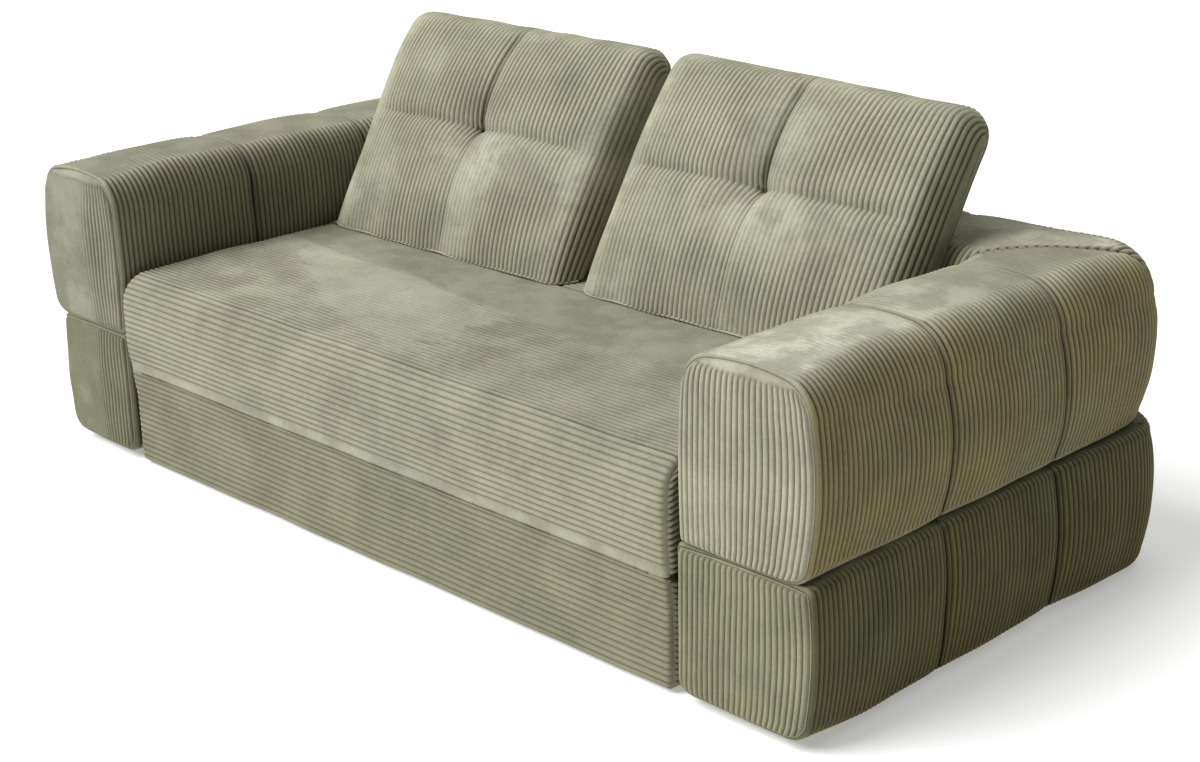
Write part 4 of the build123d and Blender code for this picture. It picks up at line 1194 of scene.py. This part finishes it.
def make_cushion(name, side, seed, sag, bulge_left):
    """One cushion: rib lines, stuffing and cover. It gives back the line of its foot."""
    fine, counts = rib_places((CUSHION_CLOTH[0], 0.0, CUSHION_CLOTH[-1]))
    coarse = even_places((CUSHION_CLOTH[0], 0.0, CUSHION_CLOTH[-1]), 0.014)

    def in_place(cloth):
        places = np.interp(cloth, CUSHION_CLOTH, CUSHION_ACROSS)
        lines = np.array([cushion_line(place) for place in places])
        across = np.broadcast_to(places[:, None], lines.shape[:2])
        near = np.hypot(across, lines[..., 1] - TUFT)
        drawn = across * (1 - GATHER * hump(near, GATHER_WIDTH))
        upper_left = ease(-across / CUSHION_WIDTH, 0.15, 0.5) * ease(lines[..., 1], 0.16, 0.42)
        drawn = drawn - bulge_left * upper_left
        slump = sag * (across / CUSHION_WIDTH + 0.5) * ease(lines[..., 1], 0.30, CUSHION_HEIGHT)
        loops = cushion_place(side * CUSHION_CENTRE + drawn, lines[..., 0], lines[..., 1] - slump)
        return loops, lines, across

    base, lines, across = in_place(coarse)
    face = np.arange(base.shape[1]) < CUSHION_RUNS[0]
    rise = lines[..., 1]
    near = np.hypot(across, rise - TUFT)
    pins = np.where(face[None], hump(near, 0.02), BACK_HELD)
    pins = np.maximum(pins, SEAM_HELD * face * hump(rise - TUFT, 0.006))
    pins = np.maximum(pins, SEAM_HELD * face * hump(across, 0.008) * ease(rise, TUFT - 0.2, TUFT))
    pins = np.maximum(pins, FOOT_HELD * (1 - ease(rise, 0.01, 0.05)))
    pins[[0, 1, -2, -1]] = 1
    bulge = stuff(base, np.clip(pins, 0, 1), pressure=4, slack=0.015, limit=0.012)
    loops, lines, across = in_place(fine)
    loops = loops + cubic(bulge, np.interp(fine, coarse, np.arange(len(coarse))), False)
    loops += outward_normals(loops) * (UNEVEN * ripple(loops, 0.13, seed))[..., None]
    front = (np.arange(loops.shape[1]) < CUSHION_RUNS[0] + CUSHION_RUNS[1]).astype(float)
    counts = np.clip(counts, 0.5, counts[-1] - 0.5)
    part = SimpleNamespace(loops=loops, marks=cushion_marks(
        counts, across, lines[..., 1], front, outward_normals(loops),
        ease(ripple(loops, 0.30, seed), -0.1, 0.9),
    ))
    nodes = [f"{name}_cushion_cover", f"{name}_cushion_fill"]
    piece = cover_mesh(name + "_cushion_upholstery", [part])
    finish_cover(piece, name + "_cushion", nodes)
    return loops[:, 0]


cushion_feet = {
    "left": make_cushion("left", -1, 41, sag=0.006, bulge_left=0.018),
    "right": make_cushion("right", 1, 42, sag=0.020, bulge_left=0.0),
}

# %% [markdown]
# ## Wood, steel and plastic inside
# The hidden frame shows when the seat is open. Its measured shapes are right, so they only get a
# finish: pale timber with a grain, brushed steel, and black plastic glides.

# %%  Finish the hard parts
def make_finish(name, colour, darker, scale, roughness, metallic=0.0, stretch=(1, 1, 1), bump=0.0004):
    """A plain hard finish with streaks or specks of a darker tone."""
    material, tree, shader, where = new_shader(name)
    turned = add_node(tree, "ShaderNodeMapping", {"Vector": where, "Scale": stretch}).outputs[0]
    streak = noise(tree, turned, scale, 6.0, Distortion=0.6)
    relief = {"Strength": 0.4, "Distance": bump, "Height": streak}
    relief = add_node(tree, "ShaderNodeBump", relief).outputs[0]
    rough = spread(tree, streak, 0.0, 1.0, roughness - 0.08, roughness + 0.08)
    tree.links.new(mixed(tree, streak, tinted(darker), tinted(colour)), shader.inputs["Base Color"])
    tree.links.new(rough, shader.inputs["Roughness"])
    tree.links.new(relief, shader.inputs["Normal"])
    shader.inputs["Metallic"].default_value = metallic
    return material


finishes = {
    "timber": make_finish(
        "pine_timber", (0.62, 0.44, 0.25), (0.42, 0.27, 0.13), 9.0, 0.62, stretch=(1, 6, 6),
    ),
    "steel": make_finish(
        "zinc_steel", (0.62, 0.63, 0.65), (0.42, 0.43, 0.45), 60.0, 0.34, metallic=1.0, bump=0.0001,
    ),
    "glide_plastic": make_finish("black_glide", (0.030, 0.030, 0.030), (0.015, 0.015, 0.015), 200.0, 0.5),
    "zip_nylon": make_finish("dark_nylon", (0.050, 0.052, 0.036), (0.022, 0.023, 0.016), 300.0, 0.45),
    "zip_metal": make_finish(
        "dark_zip_metal", (0.12, 0.12, 0.10), (0.06, 0.06, 0.05), 250.0, 0.35, metallic=0.9,
    ),
    "twine": make_finish("green_twine", (0.30, 0.31, 0.22), (0.18, 0.19, 0.12), 500.0, 0.85),
}
slots = {row["node"]: row["material_slot"] for row in frame["record"]["subparts"]}
for node, piece in frame["nodes"].items():
    finish = finishes.get(slots[node])
    if finish:
        piece.data.materials.clear()
        piece.data.materials.append(finish)
print("finished", sum(slots[node] in finishes for node in frame["nodes"]), "hard parts")

# %% [markdown]
# ## Piping and zips
# A thin corded edge, called piping, covers the seam round each arm's end panel and along each
# cushion's foot. It could be a row of modelled tubes, but a Geometry Nodes tree sweeps one round
# section along any path.
# Zip teeth are one small block, set along the zip's line by the same kind of tree.

# %%  The trees for piping and for teeth
def build_piping_tree():
    """A round section swept along a path."""
    tree, ids, given = start_tree("piping", Radius=("Float", 0.0015), Cloth=("Material", None))
    path = add_node(tree, "GeometryNodeMeshToCurve", {0: given.outputs[0]}).outputs[0]
    ring = {"Resolution": 8, "Radius": given.outputs["Radius"]}
    ring = add_node(tree, "GeometryNodeCurvePrimitiveCircle", ring).outputs[0]
    tube = {"Curve": path, "Profile Curve": ring, "Fill Caps": True}
    tube = add_node(tree, "GeometryNodeCurveToMesh", tube)
    smooth = add_node(tree, "GeometryNodeSetShadeSmooth", {0: tube.outputs[0]})
    end_tree(tree, smooth.outputs[0], given.outputs["Cloth"])
    return tree, ids


def build_teeth_tree():
    """Blocks along a path, set a little to the left and right by turns."""
    tree, ids, given = start_tree(
        "zip_teeth", Pitch=("Float", 0.0016), Tooth=("Vector", None), Turn=("Vector", None),
        Side=("Vector", None), Nylon=("Material", None),
    )
    path = add_node(tree, "GeometryNodeMeshToCurve", {0: given.outputs[0]}).outputs[0]
    pitch = {"Curve": path, "Length": given.outputs["Pitch"]}
    dots = add_node(tree, "GeometryNodeCurveToPoints", pitch, mode="LENGTH")
    index = add_node(tree, "GeometryNodeInputIndex").outputs[0]
    turn = calculate(tree, "MULTIPLY_ADD", calculate(tree, "MODULO", index, 2.0), 2.0, -1.0)
    aside = scaled(tree, given.outputs["Side"], turn)
    moved = add_node(tree, "GeometryNodeSetPosition", {"Geometry": dots.outputs[0], "Offset": aside})
    tooth = add_node(tree, "GeometryNodeMeshCube", {"Size": given.outputs["Tooth"]})
    row = add_node(tree, "GeometryNodeInstanceOnPoints", {
        "Points": moved.outputs[0], "Instance": tooth.outputs[0], "Rotation": given.outputs["Turn"],
    })
    end_tree(tree, row.outputs[0], given.outputs["Nylon"])
    return tree, ids


piping_tree, piping_inputs = build_piping_tree()
teeth_tree, teeth_inputs = build_teeth_tree()


def path_piece(name, points, closed):
    """A line of points as an object, for a tree to work along."""
    mesh = bpy.data.meshes.new(name)
    edges = [(row, row + 1) for row in range(len(points) - 1)] + ([(len(points) - 1, 0)] if closed else [])
    mesh.from_pydata(np.asarray(points).tolist(), edges, [])
    return linked(name, mesh)


# %%  Sew the piping
piping_cloth = make_corduroy("piping_cloth")


def sew_piping(name, points, closed, body, radius):
    """A thin round edge along a line of points."""
    piece = path_piece(name, points, closed)
    grow(piece, piping_tree, piping_inputs, Radius=radius, Cloth=piping_cloth)
    for key, value in (("wale", 1.0), ("pale", 0.35)):
        mark_points(piece.data, key, np.full(len(piece.data.vertices), value))
    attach(piece, body)


for side_name, side in (("left", -1), ("right", 1)):
    for tier_name, tier in tiers.items():
        outline = panel_outline(tier)
        place = np.full(len(outline), ARM_FRONT + EDGE_BACK)
        points = np.stack([side * outline[:, 0], place, outline[:, 1]], 1)
        name = f"{side_name}_arm_{tier_name}_piping"
        sew_piping(name, settled(points, tier), True, "surround", radius=0.0010)
    foot = cushion_feet[side_name][4:-4] + [0, 0.0004, 0.0004]
    sew_piping(f"{side_name}_cushion_piping", foot, False, f"{side_name}_cushion", radius=0.0024)
print("piping sewn")


# %%  Set the zip teeth
TOOTH = Vector((0.0012, 0.0034, 0.0009))
TOOTH_ASIDE, TOOTH_OUT = 0.0009, 0.0004


def sew_teeth(node, body, out):
    """Two rows of small blocks along the middle of a zip, on the side that faces out."""
    low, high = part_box(node)
    middle = (Vector(low) + Vector(high)) / 2
    reach = (Vector(high) - Vector(low)) / 2
    along = Vector((1, 0, 0)) if reach.x > reach.y else Vector((0, 1, 0))
    out = Vector(out).normalized()
    aside = along.cross(out)
    run = along * (max(reach.x, reach.y) - 0.004)
    start = middle + out * TOOTH_OUT
    piece = path_piece(node + "_teeth", [start - run, start + run], False)
    turn = Matrix((along, aside, out)).transposed().to_euler()
    nylon = finishes["zip_nylon"]
    grow(piece, teeth_tree, teeth_inputs, Tooth=TOOTH, Turn=turn, Side=aside * TOOTH_ASIDE, Nylon=nylon)
    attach(piece, body)
    size = [round(v * 2000, 1) for v in reach]
    print(piece.name, len(piece.data.polygons) // 6, "teeth, zip box", size, "mm")


sew_teeth("seat_zip", "seat_top", (1, 0, -1))
for side_name in ("left", "right"):
    sew_teeth(side_name + "_cushion_zip", side_name + "_cushion", (0, math.cos(LEAN), -math.sin(LEAN)))

# %% [markdown]
# ## Fold strip
# One strip of webbing joins the two seat blocks along their front seam. It lies folded between
# them.

# %%  Sew the fold strip
STRIP_HALF = 0.00045
STRIP_STEPS, TURN_STEPS, STRIP_LINES = 14, 12, 90


def make_fold_strip():
    """A strip that runs in along the base, turns at the front and runs back under the seat."""
    near, far = strip_low[0].y - 0.0002, strip_low[1].y
    low_z, high_z = ((low.z + high.z) / 2 for low, high in (strip_low, strip_high))
    middle, bend = (strip_low[0].z + strip_high[1].z) / 2, (high_z - low_z) / 2
    line = [(y, low_z) for y in np.linspace(far, near + bend, STRIP_STEPS)]
    turn = np.linspace(-math.pi / 2, -3 * math.pi / 2, TURN_STEPS)
    line += [(near + bend + bend * math.cos(t), middle + bend * math.sin(t)) for t in turn[1:-1]]
    line += [(y, high_z) for y in np.linspace(near + bend, far, STRIP_STEPS)]
    line = np.array(line)
    around = np.gradient(line, axis=0)
    normal = np.stack([around[:, 1], -around[:, 0]], 1)
    normal /= np.linalg.norm(normal, axis=1, keepdims=True)
    loop = np.concatenate([line + normal * STRIP_HALF, (line - normal * STRIP_HALF)[::-1]])
    places = np.linspace(strip_low[0].x, strip_low[1].x, STRIP_LINES)
    loops = np.stack(np.broadcast_arrays(places[:, None], loop[:, 0], loop[:, 1]), -1)
    return cover_mesh("fold_strip", [SimpleNamespace(loops=loops, marks={"pale": 0.25})]), middle


fold_strip, fold_height = make_fold_strip()
fold_strip.data.materials.append(cloth_green)
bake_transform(fold_strip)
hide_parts("fold_strip_lower", "fold_strip_upper")


# %% [markdown]
# ## Studio
# A pale floor runs out of view on every side. A broad lamp stands high on the left, in front, so
# tops are palest, fronts are in the middle and the right-hand sides fall into shade.

# %%  Lay the floor and hang the lamps
floor_mesh = bpy.data.meshes.new("studio_floor")
REACH = 30.0
corners = [(x, y, 0) for x, y in ((-REACH, -REACH), (REACH, -REACH), (REACH, REACH), (-REACH, REACH))]
floor_mesh.from_pydata(corners, [], [(0, 1, 2, 3)])
floor = linked("studio_floor", floor_mesh)
floor_paint, _, floor_shader, _ = new_shader("pale_floor")
set_inputs(floor_shader, {
    "Base Color": (0.93, 0.93, 0.93, 1), "Roughness": 0.9, "Emission Color": WHITE, "Emission Strength": 0.30,
})
floor_mesh.materials.append(floor_paint)


def hang_lamp(name, towards, strength, softness):
    """A far, soft lamp. It lights the floor and the sofa evenly, like a studio's large soft box."""
    data = bpy.data.lights.new(name, "SUN")
    data.energy, data.angle = strength, math.radians(softness)
    lamp = linked(name, data)
    lamp.rotation_euler = Vector(towards).to_track_quat("Z", "Y").to_euler()


hang_lamp("key_lamp", (-0.38, -0.60, 0.74), 3.25, 40)
hang_lamp("top_lamp", (-0.10, 0.25, 1.00), 0.75, 60)
world = bpy.data.worlds.new("studio_air")
bpy.context.scene.world = world
world.use_nodes = True
set_inputs(world.node_tree.nodes["Background"], {"Color": WHITE, "Strength": 0.16})


# %%  Show colours as they are
# The default view softens whites to grey. The plain one keeps the pale floor white.
bpy.context.scene.view_settings.view_transform = "Standard"
